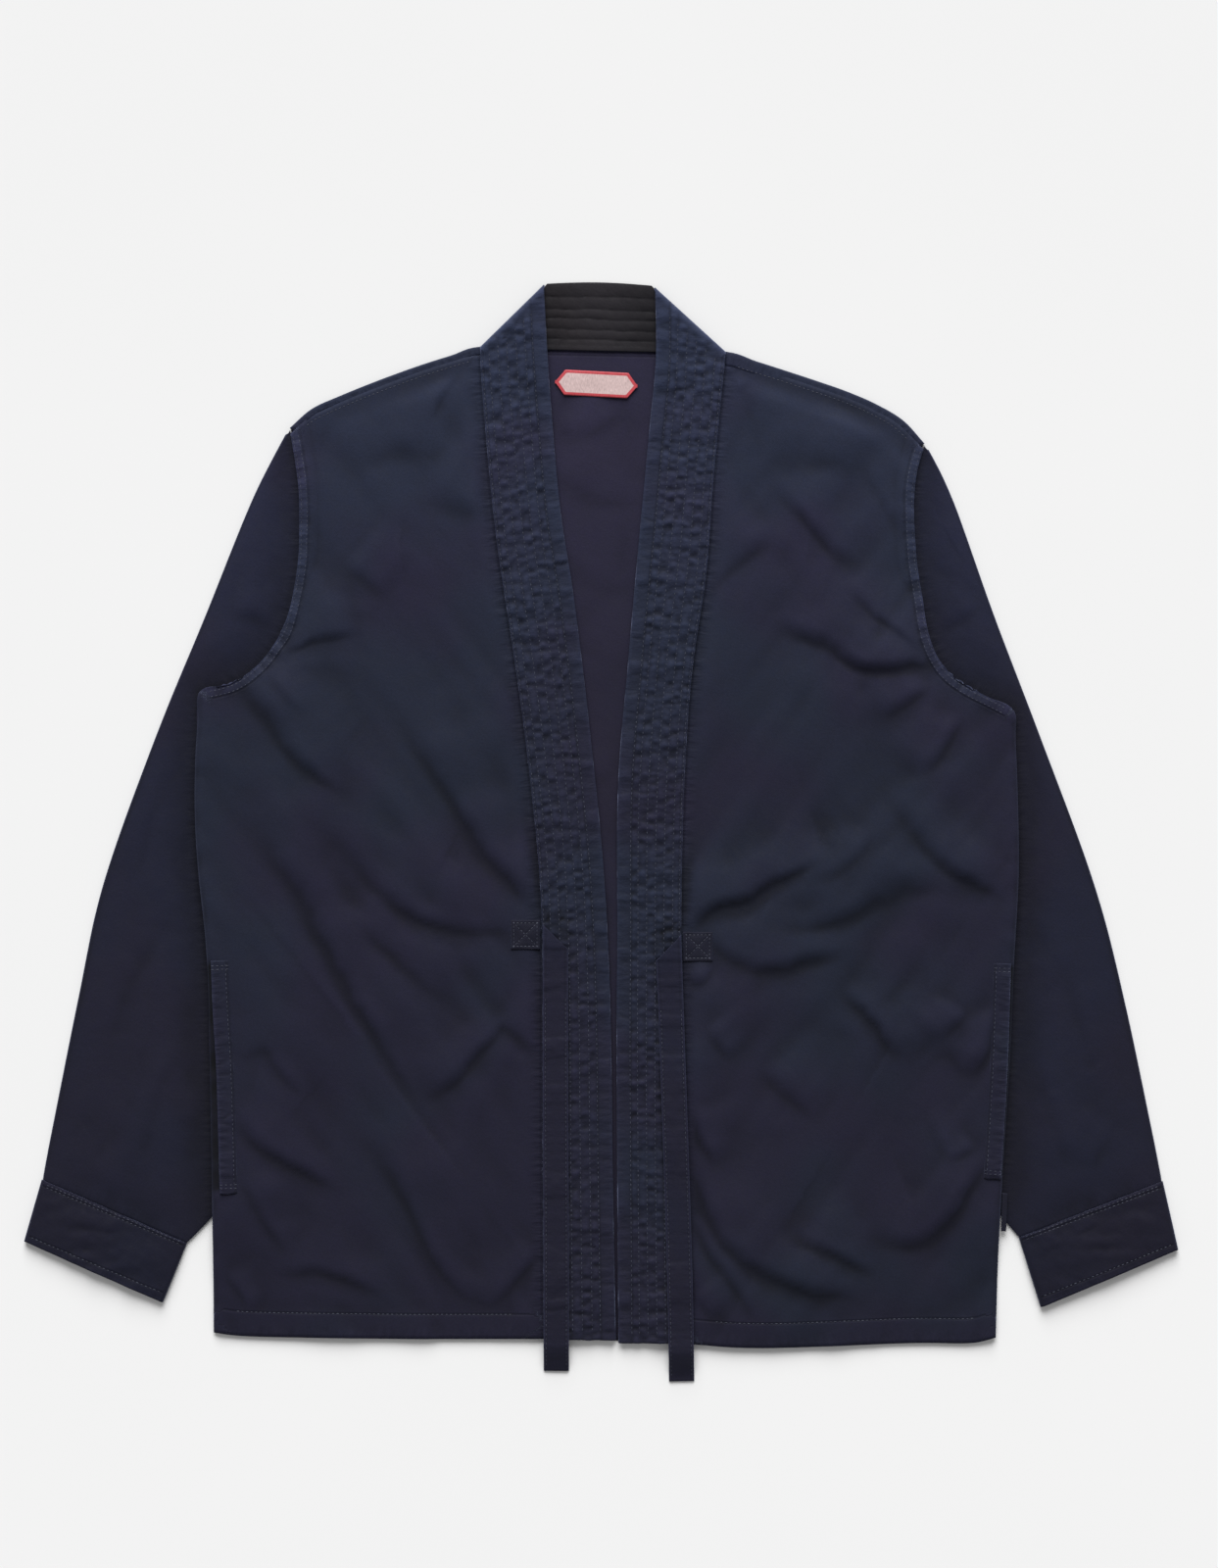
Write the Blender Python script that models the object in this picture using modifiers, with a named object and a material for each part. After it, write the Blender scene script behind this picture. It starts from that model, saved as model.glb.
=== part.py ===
"""A hanten shirt of dark navy cotton, laid flat on its back with the fronts up.

X runs across the garment to the wearer's left, Y runs up to the collar, and Z is up. The origin is the
middle of the garment's outline, on the surface that it lies on. Sizes and tables are in millimetres.
"""

import math
from collections import namedtuple

import bmesh
import bpy
import numpy as np

MM = 0.001

# Cloth and seams
CLOTH = 1.2
BAND = 2.2
CUFF_WALL = 1.5
TAPE = 1.4
SEAM_GAP = 0.3
LAYER_GAP = 0.8
SEAM_LAP = 8.0

# The flattened sleeve
SLEEVE_FLAT = 3.0
SLEEVE_PUFF = 2.4
SLEEVE_LAP = 2.0
BACK_INSET = 4.0

# Outlines. across: from the middle to the wearer's left, up: towards the collar
Point = namedtuple("Point", "across up")

RIGHT_SIDE_SEAM = [
    Point(-276.5, -357.5),
    Point(-277.0, -281.0),
    Point(-279.0, -170.0),
    Point(-281.0, -89.0),
    Point(-287.0, -29.0),
    Point(-289.5, 13.0),
    Point(-289.0, 55.0),
    Point(-286.0, 100.0),
]
RIGHT_ARMHOLE = [
    Point(-286.0, 100.0),
    Point(-262.5, 106.0),
    Point(-245.5, 118.0),
    Point(-233.5, 133.0),
    Point(-225.0, 148.0),
    Point(-217.0, 185.0),
    Point(-215.5, 210.0),
    Point(-216.0, 247.0),
    Point(-222.5, 288.0),
]
RIGHT_SHOULDER = [
    Point(-222.5, 288.0),
    Point(-212.5, 298.0),
    Point(-198.5, 305.5),
    Point(-170.5, 317.5),
    Point(-128.5, 333.0),
    Point(-86.5, 346.0),
]
RIGHT_BAND_SEAM = [
    Point(-41.0, -362.0),
    Point(-42.0, -210.0),
    Point(-42.5, -61.0),
    Point(-50.0, 32.0),
    Point(-62.0, 124.0),
    Point(-74.0, 203.0),
    Point(-80.5, 264.0),
    Point(-85.0, 318.0),
    Point(-86.5, 346.0),
]
RIGHT_BAND_EDGE = [
    Point(10.5, -363.0),
    Point(8.5, -253.0),
    Point(6.5, -122.0),
    Point(1.5, -24.0),
    Point(-9.0, 81.0),
    Point(-20.0, 171.0),
    Point(-29.5, 233.0),
    Point(-37.0, 321.0),
    Point(-41.0, 390.5),
]
RIGHT_HEM = [
    Point(-276.5, -357.5),
    Point(-255.0, -360.0),
    Point(-212.0, -361.0),
    Point(-128.0, -362.0),
    Point(-41.0, -362.0),
]
LEFT_SIDE_SEAM = [
    Point(281.5, -361.0),
    Point(284.5, -275.0),
    Point(291.5, -163.0),
    Point(294.5, -89.0),
    Point(297.5, -28.0),
    Point(296.5, 41.0),
    Point(294.0, 86.5),
]
LEFT_ARMHOLE = [
    Point(294.0, 86.5),
    Point(279.5, 94.0),
    Point(260.0, 104.0),
    Point(244.5, 117.0),
    Point(234.0, 138.5),
    Point(228.5, 171.0),
    Point(224.5, 200.0),
    Point(223.5, 245.0),
    Point(231.0, 277.0),
]
LEFT_SHOULDER = [
    Point(231.0, 277.0),
    Point(221.5, 288.0),
    Point(207.5, 299.0),
    Point(179.5, 312.5),
    Point(137.5, 327.0),
    Point(89.0, 342.5),
]
LEFT_BAND_SEAM = [
    Point(58.5, -365.0),
    Point(57.0, -200.0),
    Point(57.0, -71.0),
    Point(59.0, 28.0),
    Point(64.5, 111.0),
    Point(75.0, 184.0),
    Point(80.0, 249.0),
    Point(86.5, 318.0),
    Point(89.0, 342.5),
]
LEFT_BAND_EDGE = [
    Point(12.3, -365.0),
    Point(11.0, -162.0),
    Point(11.5, -78.0),
    Point(12.0, 32.0),
    Point(19.5, 124.0),
    Point(26.5, 203.0),
    Point(34.5, 288.0),
    Point(39.0, 338.0),
    Point(38.5, 388.5),
]
LEFT_HEM = [
    Point(281.5, -361.0),
    Point(263.0, -365.0),
    Point(221.5, -365.0),
    Point(137.5, -368.0),
    Point(95.5, -368.0),
    Point(58.5, -365.0),
]
RIGHT_SLEEVE_OUTER = [
    Point(-224.0, 286.0),
    Point(-249.0, 237.0),
    Point(-283.0, 153.0),
    Point(-317.5, 69.0),
    Point(-355.0, -36.0),
    Point(-373.5, -120.0),
    Point(-396.0, -247.0),
]
RIGHT_SLEEVE_INNER = [
    Point(-225.0, 148.0),
    Point(-233.0, 110.0),
    Point(-236.0, 50.0),
    Point(-236.0, -20.0),
    Point(-238.0, -100.0),
    Point(-243.0, -180.0),
    Point(-256.0, -240.0),
    Point(-278.0, -274.0),
    Point(-298.5, -292.5),
]
LEFT_SLEEVE_OUTER = [
    Point(232.5, 275.0),
    Point(251.0, 237.0),
    Point(281.0, 153.0),
    Point(313.0, 69.0),
    Point(351.5, -36.0),
    Point(373.5, -120.0),
    Point(398.0, -248.0),
]
LEFT_SLEEVE_INNER = [
    Point(234.0, 138.5),
    Point(240.0, 100.0),
    Point(243.0, 45.0),
    Point(243.0, -20.0),
    Point(245.0, -100.0),
    Point(250.0, -185.0),
    Point(264.0, -240.0),
    Point(286.0, -274.0),
    Point(301.0, -288.5),
]

# Cuffs: the corners of each, laid flat
Cuff = namedtuple("Cuff", "seam_outer seam_inner mouth_outer mouth_inner")
RIGHT_CUFF = Cuff(
    seam_outer=Point(-399.5, -249.0),
    seam_inner=Point(-295.5, -293.0),
    mouth_outer=Point(-412.0, -293.0),
    mouth_inner=Point(-312.5, -335.0),
)
LEFT_CUFF = Cuff(
    seam_outer=Point(401.0, -250.0),
    seam_inner=Point(298.0, -289.0),
    mouth_outer=Point(412.0, -299.0),
    mouth_inner=Point(313.5, -338.5),
)
CUFF_SEAM_HEIGHT = 3.8
CUFF_HEIGHT = 6.6
CUFF_RISE = 3.0

# The collar's back, which stands up behind the neck and lies on its outer face
NECK_RIGHT = Point(-86.5, 346.0)
NECK_LEFT = Point(89.0, 342.5)
COLLAR_TOP_RIGHT = Point(-41.0, 391.0)
COLLAR_TOP_LEFT = Point(38.5, 389.5)
COLLAR_CROWN = 1.8
QUILT_ROWS = 6
QUILT_RAISE = 0.6
NOSE = 5.0
COLLAR_END = 7.0

# Forward shoulder seam: how far the back's cloth comes over the shoulder, at the tip and at the neck
RIGHT_OVER_SHOULDER = (2.6, 4.2)
LEFT_OVER_SHOULDER = (2.6, 8.5)

# Ties: the middle line of each, from its root in the band's seam to its end
TIE_WIDTH = 18.0
RIGHT_TIE = [Point(-32.5, -66.0), Point(-32.5, -180.0), Point(-32.0, -300.0), Point(-32.0, -385.0)]
LEFT_TIE = [Point(48.0, -74.0), Point(51.0, -162.0), Point(55.5, -298.0), Point(57.5, -392.4)]
TIE_DROP = 20.0
TAB_SIZE = 21.0
RIGHT_TAB = Point(-54.0, -73.5)
LEFT_TAB = Point(69.0, -82.0)

# Pocket mouths in the side seams: the front's turned edge, from top to bottom
POCKET_FACING = 12.5
RIGHT_POCKET = [Point(-278.0, -92.0), Point(-276.5, -130.0), Point(-274.0, -175.0), Point(-271.5, -258.0)]
LEFT_POCKET = [Point(292.0, -94.0), Point(291.0, -131.0), Point(289.0, -182.0), Point(285.0, -248.0)]

# The label in the back neck, and the small loop label in the left side seam
LABEL = (59.0, 18.0)
LABEL_AT = Point(-3.5, 319.5)
LABEL_TURN = -3.0
FLAG_LABEL = (3.6, 27.0)
FLAG_AT = Point(287.5, -271.5)

# Main folds. start and end of the crease, how far it bows, and the ridge's height and half width above it
Fold = namedtuple("Fold", "x0 y0 x1 y1 bow height reach")
RIGHT_FRONT_FOLDS = [
    Fold(-258, 100, -178, 22, -3, 5.7, 17),
    Fold(-142, 72, -46, -54, -6, 5.5, 19),
    Fold(-192, -4, -72, -74, -10, 4.7, 20),
    Fold(-252, 18, -142, -188, 8, 5.7, 22),
    Fold(-122, -186, -66, -138, 0, 4.7, 17),
    Fold(-256, -206, -178, -270, -4, 3.6, 17),
    Fold(-160, -226, -104, -320, -4, 4.2, 19),
    Fold(-86, -342, -44, -296, 0, 3.9, 14),
    Fold(-224, 132, -182, 142, 0, 3.4, 14),
    Fold(-142, 246, -84, 226, 0, 2.9, 19),
]
LEFT_FRONT_FOLDS = [
    Fold(128, 144, 232, 120, -6, 5.2, 19),
    Fold(128, 240, 182, 190, -3, 3.6, 19),
    Fold(78, 174, 128, 210, 4, 3.1, 17),
    Fold(212, 20, 282, -46, -3, 5.2, 19),
    Fold(64, -62, 150, -26, 4, 5.5, 17),
    Fold(128, -64, 228, -44, -5, 4.2, 22),
    Fold(86, -84, 174, -90, -9, 4.4, 17),
    Fold(176, -118, 218, -162, -3, 3.6, 17),
    Fold(68, -246, 166, -330, -16, 6.0, 20),
    Fold(138, -292, 192, -312, -3, 4.4, 15),
    Fold(198, -292, 272, -240, -16, 5.5, 17),
    Fold(98, -160, 150, -200, 0, 2.9, 17),
]
BACK_FOLDS = [
    Fold(-34, 288, 24, 300, -4, 1.4, 18),
    Fold(-12, 92, 14, 88, 0, 1.2, 16),
]
FOLD_STEEP = 0.55
FOLD_FADE = 16.0

NAVY = (0.024, 0.026, 0.045)
NAVY_DARK = (0.019, 0.020, 0.034)
NAVY_INSIDE = (0.030, 0.027, 0.046)
BLACK_LINING = (0.026, 0.024, 0.026)
BLACK_TAPE = (0.018, 0.017, 0.020)
LABEL_RED = (0.55, 0.035, 0.055)


def smoothstep(share):
    share = np.clip(share, 0.0, 1.0)
    return share * share * (3.0 - 2.0 * share)


def smooth_line(points, count):
    """A Catmull-Rom curve through the points, as count points at equal distances along it."""
    knots = np.array(points, float)
    before, after = 2 * knots[0] - knots[1], 2 * knots[-1] - knots[-2]
    p = np.vstack([before, knots, after])
    t = np.linspace(0.0, 1.0, 16, endpoint=False)[:, None]
    fine = []
    for a, b, c, d in zip(p, p[1:], p[2:], p[3:]):
        square = 2 * a - 5 * b + 4 * c - d
        cube = 3 * b - a - 3 * c + d
        fine.append(0.5 * (2 * b + (c - a) * t + square * t**2 + cube * t**3))
    fine = np.vstack(fine + [knots[-1:]])
    along = np.concatenate([[0.0], np.cumsum(np.linalg.norm(np.diff(fine, axis=0), axis=1))])
    at = np.linspace(0.0, along[-1], count)
    return np.stack([np.interp(at, along, fine[:, k]) for k in range(2)], axis=1)


def chained(*lines):
    """Lines end to end, with the shared points kept once."""
    return np.vstack([lines[0]] + [line[1:] for line in lines[1:]])


def moved_aside(line, distance):
    """The line moved to its left by a distance, which may differ from point to point."""
    along = np.gradient(line, axis=0)
    along /= np.linalg.norm(along, axis=1)[:, None]
    aside = np.stack([-along[:, 1], along[:, 0]], axis=1)
    return line + aside * np.broadcast_to(distance, len(line))[:, None]


def patch(left, right, bottom, top):
    """A grid of points between four edges, as a Coons patch with its inner points eased apart at the corners.
    left and right run up, bottom and top run to the right."""
    v = np.linspace(0.0, 1.0, len(left))[:, None, None]
    u = np.linspace(0.0, 1.0, len(bottom))[None, :, None]
    across = (1 - u) * left[:, None] + u * right[:, None]
    upward = (1 - v) * bottom[None] + v * top[None]
    low_corners = (1 - u) * bottom[0] + u * bottom[-1]
    high_corners = (1 - u) * top[0] + u * top[-1]
    xy = across + upward - (1 - v) * low_corners - v * high_corners
    for _ in range(EASING):
        around = xy[:-2, 1:-1] + xy[2:, 1:-1] + xy[1:-1, :-2] + xy[1:-1, 2:]
        xy[1:-1, 1:-1] = 0.5 * xy[1:-1, 1:-1] + 0.125 * around
    return xy


def distance_to_line(xy, line):
    """The distance from each point to a line of many points."""
    best = np.full(xy.shape[:-1], np.inf)
    for a, b in zip(line, line[1:]):
        side = b - a
        share = np.clip(((xy - a) @ side) / max(side @ side, 1e-9), 0.0, 1.0)
        best = np.minimum(best, np.linalg.norm(xy - a - share[..., None] * side, axis=-1))
    return best


def inside(xy, outline):
    """Whether each point lies inside a closed outline."""
    crossings = np.zeros(xy.shape[:-1], int)
    x, y = xy[..., 0], xy[..., 1]
    for a, b in zip(outline, np.roll(outline, -1, axis=0)):
        spans = (a[1] > y) != (b[1] > y)
        rise = b[1] - a[1] if b[1] != a[1] else 1e-9
        crossings += spans & (x < a[0] + (y - a[1]) * (b[0] - a[0]) / rise)
    return crossings % 2 == 1


def distance_outside(xy, outline):
    """How far each point lies outside a closed outline, and 0 within it."""
    away = distance_to_line(xy, np.vstack([outline, outline[:1]]))
    return np.where(inside(xy, outline), 0.0, away)


def ridges(xy, folds):
    """The height that a table of folds adds: each slopes softly towards the collar and steeply to the hem."""
    height = np.zeros(xy.shape[:-1])
    for fold in folds:
        start, end = np.array([fold.x0, fold.y0], float), np.array([fold.x1, fold.y1], float)
        run = end - start
        length = np.linalg.norm(run)
        run /= length
        up = np.array([-run[1], run[0]])
        if up[1] < 0:
            up = -up
        along = (xy - start) @ run / length
        bowed = fold.bow * 4.0 * np.clip(along, 0, 1) * (1 - np.clip(along, 0, 1))
        off = (xy - start) @ up - bowed - 0.5 * FOLD_STEEP * fold.reach
        width = np.where(off > 0, fold.reach, FOLD_STEEP * fold.reach)
        taper = smoothstep(along / 0.35 + 0.25) * smoothstep((1 - along) / 0.35 + 0.25)
        height = np.maximum(height, fold.height * taper * np.exp(-((off / width) ** 2)))
    return height


# The two halves, the grids' rows below and along the armhole, and the body's rise over the sleeves
EASING = 4
FRONT_ROWS = (21, 10)
BACK_ROWS = (14, 7)
Side = namedtuple(
    "Side",
    "name side_seam armhole shoulder band_seam band_edge hem "
    "sleeve_outer sleeve_inner cuff over_shoulder tie tab pocket folds",
)
RIGHT = Side(
    name="right",
    side_seam=RIGHT_SIDE_SEAM,
    armhole=RIGHT_ARMHOLE,
    shoulder=RIGHT_SHOULDER,
    band_seam=RIGHT_BAND_SEAM,
    band_edge=RIGHT_BAND_EDGE,
    hem=RIGHT_HEM,
    sleeve_outer=RIGHT_SLEEVE_OUTER,
    sleeve_inner=RIGHT_SLEEVE_INNER,
    cuff=RIGHT_CUFF,
    over_shoulder=RIGHT_OVER_SHOULDER,
    tie=RIGHT_TIE,
    tab=RIGHT_TAB,
    pocket=RIGHT_POCKET,
    folds=RIGHT_FRONT_FOLDS,
)
LEFT = Side(
    name="left",
    side_seam=LEFT_SIDE_SEAM,
    armhole=LEFT_ARMHOLE,
    shoulder=LEFT_SHOULDER,
    band_seam=LEFT_BAND_SEAM,
    band_edge=LEFT_BAND_EDGE,
    hem=LEFT_HEM,
    sleeve_outer=LEFT_SLEEVE_OUTER,
    sleeve_inner=LEFT_SLEEVE_INNER,
    cuff=LEFT_CUFF,
    over_shoulder=LEFT_OVER_SHOULDER,
    tie=LEFT_TIE,
    tab=LEFT_TAB,
    pocket=LEFT_POCKET,
    folds=LEFT_FRONT_FOLDS,
)
SIDES = (RIGHT, LEFT)
LIFT = SLEEVE_FLAT + 2 * SEAM_GAP
LIFT_RUN = 52.0
LIFT_LEAD = 5.0
LIP_RUN = 26.0


def hidden_sleeve(side):
    """The outline of the part of a sleeve that lies under the body."""
    inner = smooth_line(side.sleeve_inner, 16)[:-1]
    outer_x = inner[0][0] + (-90.0 if side is RIGHT else 90.0)
    return np.vstack([inner, [[outer_x, inner[-1][1]], [outer_x, inner[0][1]]]])


def back_level(xy):
    """The underside of the back: flat, and carried over the sleeves at its sides."""
    lift = np.zeros(xy.shape[:-1])
    for side in SIDES:
        away = distance_outside(xy, hidden_sleeve(side))
        lift = np.maximum(lift, LIFT * (1 - smoothstep((away - LIFT_LEAD) / LIFT_RUN)))
    return lift + ridges(xy, BACK_FOLDS)


def lip_level(xy, side):
    """The level that a front's edge needs to clear the sleeve along the armhole."""
    away = distance_to_line(xy, smooth_line(side.armhole, 20))
    return (SLEEVE_FLAT + 2 * SEAM_GAP) * (1 - smoothstep((away - SLEEVE_LAP) / LIP_RUN))


def front_level(xy, side):
    """The underside of a front: on the back, over the sleeve along the armhole, and raised in folds."""
    seams = np.minimum(
        distance_to_line(xy, smooth_line(side.band_seam, 24)),
        distance_to_line(xy, smooth_line(side.shoulder, 10)),
    )
    folds = ridges(xy, side.folds) * smoothstep((seams - SEAM_LAP) / FOLD_FADE)
    return np.maximum(back_level(xy) + CLOTH + LAYER_GAP, lip_level(xy, side)) + folds


def band_level(xy, side):
    """The underside of the front band: on the front's edge, and down on the back towards the opening."""
    lapped = distance_to_line(xy, smooth_line(side.band_seam, 24))
    on_front = 1 - smoothstep((lapped - SEAM_LAP - 6.0) / 26.0)
    on_collar = smoothstep((xy[..., 1] - NECK_LEFT.up + 34.0) / 26.0)
    step = CLOTH + SEAM_GAP + 0.25
    return back_level(xy) + CLOTH + LAYER_GAP + step * np.maximum(on_front, on_collar)


def material(name, colour, roughness):
    made = bpy.data.materials.new(name)
    made.use_nodes = True
    shader = made.node_tree.nodes["Principled BSDF"]
    shader.inputs["Base Color"].default_value = (*colour, 1.0)
    shader.inputs["Roughness"].default_value = roughness
    shader.inputs["Metallic"].default_value = 0.0
    return made


def new_object(name, mesh, collection, cloth):
    mesh.materials.append(cloth)
    made = bpy.data.objects.new(name, mesh)
    collection.objects.link(made)
    return made


def thicken(made, thickness, offset):
    solid = made.modifiers.new("Thickness", "SOLIDIFY")
    solid.thickness = thickness * MM
    solid.offset = offset
    solid.use_quality_normals = True
    return made


def grid_mesh(name, points):
    """A sheet of quads through a grid of 3-D points in millimetres, whose rows run up and faces look up."""
    mesh = bpy.data.meshes.new(name)
    shape = bmesh.new()
    verts = [[shape.verts.new(p * MM) for p in row] for row in points]
    for low, high in zip(verts, verts[1:]):
        for a, b, c, d in zip(low, low[1:], high[1:], high):
            shape.faces.new((a, b, c, d))
    shape.normal_update()
    if sum(face.normal.z for face in shape.faces) < 0:
        bmesh.ops.reverse_faces(shape, faces=shape.faces)
    shape.to_mesh(mesh)
    shape.free()
    mesh.shade_smooth()
    return mesh


def with_level(xy, level):
    return np.concatenate([xy, np.asarray(level)[..., None]], axis=-1)


def sheet(name, xy, level, thickness, cloth, collection):
    """A wall of cloth that stands on the level of its underside."""
    mesh = grid_mesh(name, with_level(xy, level))
    return thicken(new_object(name, mesh, collection, cloth), thickness, 1.0)


def shoulder_roll(shoulder, strip, side):
    """The rows of points by which the back's cloth turns over a shoulder and ends on the front."""
    low = back_level(shoulder) + 0.5 * CLOTH
    high = front_level(shoulder, side) + CLOTH + SEAM_GAP + 0.2 + 0.5 * CLOTH
    radius = 0.5 * (high - low)
    rows = []
    for turn in (-45.0, 0.0, 45.0, 90.0):
        angle = math.radians(turn)
        row = moved_aside(shoulder, radius * (math.cos(angle) - 1.0))
        rows.append(with_level(row, low + radius * (1.0 + math.sin(angle))))
    row = moved_aside(shoulder, -radius - strip)
    rows.append(with_level(row, front_level(row, side) + CLOTH + SEAM_GAP + 0.2 + 0.5 * CLOTH))
    neck = abs(side.band_seam[-1].across) + 1.0
    for row in rows:
        row[:, 0] = np.sign(row[:, 0]) * np.maximum(np.abs(row[:, 0]), neck)
    return rows


def side_edge(side, rows, inset):
    """The outer edge of a panel from the hem to the shoulder, with its armhole set in by a distance."""
    towards_body = -1.0 if side is RIGHT else 1.0
    side_seam = smooth_line(side.side_seam, rows[0] + 1)
    armhole = moved_aside(smooth_line(side.armhole, rows[1] + 1), towards_body * inset)
    side_seam[-1] = armhole[0]
    return chained(side_seam, armhole)


def back_panel(cloth, collection):
    """The back in one piece: its cloth comes over both shoulders to the forward seams."""
    shoulder_columns, neck_columns = 7, 4
    right_edge = side_edge(RIGHT, BACK_ROWS, BACK_INSET)
    left_edge = side_edge(LEFT, BACK_ROWS, BACK_INSET)
    set_in = 0.5 * CLOTH + 0.2
    right_shoulder = moved_aside(smooth_line(RIGHT.shoulder, shoulder_columns + 1), -set_in)
    left_shoulder = moved_aside(smooth_line(LEFT.shoulder[::-1], shoulder_columns + 1), -set_in)
    right_shoulder[0, 0] += 1.5
    left_shoulder[-1, 0] -= 1.5
    neck = np.linspace(right_shoulder[-1], left_shoulder[0], neck_columns + 1)
    top = chained(right_shoulder, neck, left_shoulder)
    hem = chained(smooth_line(RIGHT.hem, 8), smooth_line(LEFT.hem[::-1], 8)) + np.array([0.0, 1.5])
    bottom = smooth_line(hem[::2], len(top))
    right_edge[-1], left_edge[-1] = top[0], top[-1]
    right_edge[0], left_edge[0] = bottom[0], bottom[-1]
    xy = patch(right_edge, left_edge, bottom, top)
    mesh = grid_mesh("back", with_level(xy, back_level(xy) + 0.5 * CLOTH))

    shape = bmesh.new()
    shape.from_mesh(mesh)
    shape.verts.ensure_lookup_table()
    top_row = shape.verts[-len(top):]
    for shoulder, first, side in (
        (right_shoulder, 0, RIGHT),
        (left_shoulder, shoulder_columns + neck_columns, LEFT),
    ):
        strip = np.linspace(*side.over_shoulder, len(shoulder))
        if side is LEFT:
            strip = strip[::-1]
        below = top_row[first:first + len(shoulder)]
        for row in shoulder_roll(shoulder, strip, side):
            above = [shape.verts.new(p * MM) for p in row]
            for a, b, c, d in zip(below, below[1:], above[1:], above):
                shape.faces.new((a, b, c, d))
            below = above
    shape.normal_update()
    shape.to_mesh(mesh)
    shape.free()
    mesh.shade_smooth()
    return thicken(new_object("back", mesh, collection, cloth), CLOTH, 0.0)


def front_panel(side, cloth, collection):
    """One front, from its side seam and armhole to the band, whose outer edge laps over it."""
    sign = -1.0 if side is RIGHT else 1.0
    outer = side_edge(side, FRONT_ROWS, 0.0)
    columns = 17
    shoulder = moved_aside(smooth_line(side.shoulder, columns), sign * 4.4)
    seam = moved_aside(smooth_line(side.band_seam, len(outer)), sign * SEAM_LAP)
    hem = smooth_line(side.hem, columns)
    outer[-1], seam[0][1], seam[-1] = shoulder[0], hem[-1][1], shoulder[-1] + np.array([-sign * 2.0, -1.0])
    hem[-1], shoulder[-1] = seam[0], seam[-1]
    xy = patch(outer, seam, hem, shoulder)
    return sheet(f"front_{side.name}", xy, front_level(xy, side), CLOTH, cloth, collection)


def square_to(line, away_from):
    """Level directions square to a line in 3-D, that point away from another line."""
    along = np.gradient(line[:, :2], axis=0)
    along /= np.linalg.norm(along, axis=1)[:, None]
    square = np.stack([-along[:, 1], along[:, 0], 0.0 * along[:, 0]], axis=1)
    facing = np.sign(np.sum(square * (line - away_from), axis=1))
    return square * facing[:, None]


def tube_mesh(name, top, bottom, closed_from):
    """A flattened tube from its upper and lower walls, grids whose columns run from the outer fold to the
    inner one. The inner fold is left open above row closed_from, for the armhole."""
    mesh = bpy.data.meshes.new(name)
    shape = bmesh.new()
    upper = [[shape.verts.new(p * MM) for p in row] for row in top]
    lower = [[shape.verts.new(p * MM) for p in row] for row in bottom]

    def fold(high, low, out):
        """Three points round a fold, between a point of the upper wall and one of the lower wall."""
        made = []
        radius = 0.5 * (high[2] - low[2])
        for turn in (45.0, 0.0, -45.0):
            angle = math.radians(turn)
            centre = 0.5 * (high + low)
            place = centre + out * radius * math.cos(angle)
            place[2] = centre[2] + radius * math.sin(angle)
            made.append(shape.verts.new(place * MM))
        return made

    outward = square_to(top[:, 0], away_from=top[:, -1])
    inward = square_to(top[:, -1], away_from=top[:, 0])
    rings = []
    for i, (high, low) in enumerate(zip(top, bottom)):
        outer = fold(high[0], low[0], outward[i])
        inner = fold(high[-1], low[-1], inward[i]) if i >= closed_from else []
        rings.append((lower[i][::-1] + outer[::-1] + upper[i], inner))
    for (low_ring, low_inner), (high_ring, high_inner) in zip(rings, rings[1:]):
        for a, b, c, d in zip(low_ring, low_ring[1:], high_ring[1:], high_ring):
            shape.faces.new((a, b, c, d))
        if low_inner and high_inner:
            low_back = [low_ring[-1], *low_inner, low_ring[0]]
            high_back = [high_ring[-1], *high_inner, high_ring[0]]
            for a, b, c, d in zip(low_back, low_back[1:], high_back[1:], high_back):
                shape.faces.new((a, b, c, d))
    bmesh.ops.recalc_face_normals(shape, faces=shape.faces)
    shape.normal_update()
    highest = max(shape.faces, key=lambda face: face.calc_center_median().z)
    if highest.normal.z < 0:
        bmesh.ops.reverse_faces(shape, faces=shape.faces)
    shape.to_mesh(mesh)
    shape.free()
    mesh.shade_smooth()
    return mesh


def sleeve(side, cloth, collection):
    """A sleeve: a flattened tube, open along the armhole, whose underarm lies beneath the body's side."""
    towards_body = -1.0 if side is RIGHT else 1.0
    rows_armhole, rows_arm = 7, 17
    inset = 0.5 * SLEEVE_FLAT
    notch = side.sleeve_inner[0]
    armhole = side.armhole[side.armhole.index(notch):][::-1]
    edge = smooth_line(smooth_line(armhole, 80)[4:], rows_armhole + 1)
    lap = SLEEVE_LAP - 3.0 * smoothstep(1.0 - np.linspace(0.0, rows_armhole, rows_armhole + 1) / 2.0)
    edge = moved_aside(edge, -towards_body * lap)
    inner = moved_aside(smooth_line(side.sleeve_inner, rows_arm + 1), towards_body * inset)
    inner = chained(edge, inner)
    outer = smooth_line(smooth_line(side.sleeve_outer, 200)[4:], len(inner))
    outer = moved_aside(outer, -towards_body * inset)
    share = np.linspace(0.0, 1.0, 7)[None, :, None]
    xy = (1 - share) * outer[:, None] + share * inner[:, None]
    body = np.vstack([smooth_line(side.side_seam, 20), smooth_line(side.armhole, 20)[1:]])
    clear = smoothstep(distance_to_line(xy, body) / 30.0 - 0.25) * ~inside(xy, body_outline())
    shut = smoothstep(distance_to_line(xy, np.array([outer[-1], inner[-1]])) / 30.0)
    puff = SLEEVE_PUFF * clear * shut * np.sin(math.pi * share[..., 0]) ** 0.7
    top = with_level(xy, SLEEVE_FLAT + puff)
    bottom = with_level(xy, np.zeros(puff.shape))
    mesh = tube_mesh(f"sleeve_{side.name}", top, bottom, closed_from=rows_armhole)
    return thicken(new_object(f"sleeve_{side.name}", mesh, collection, cloth), CLOTH, -1.0)


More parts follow.
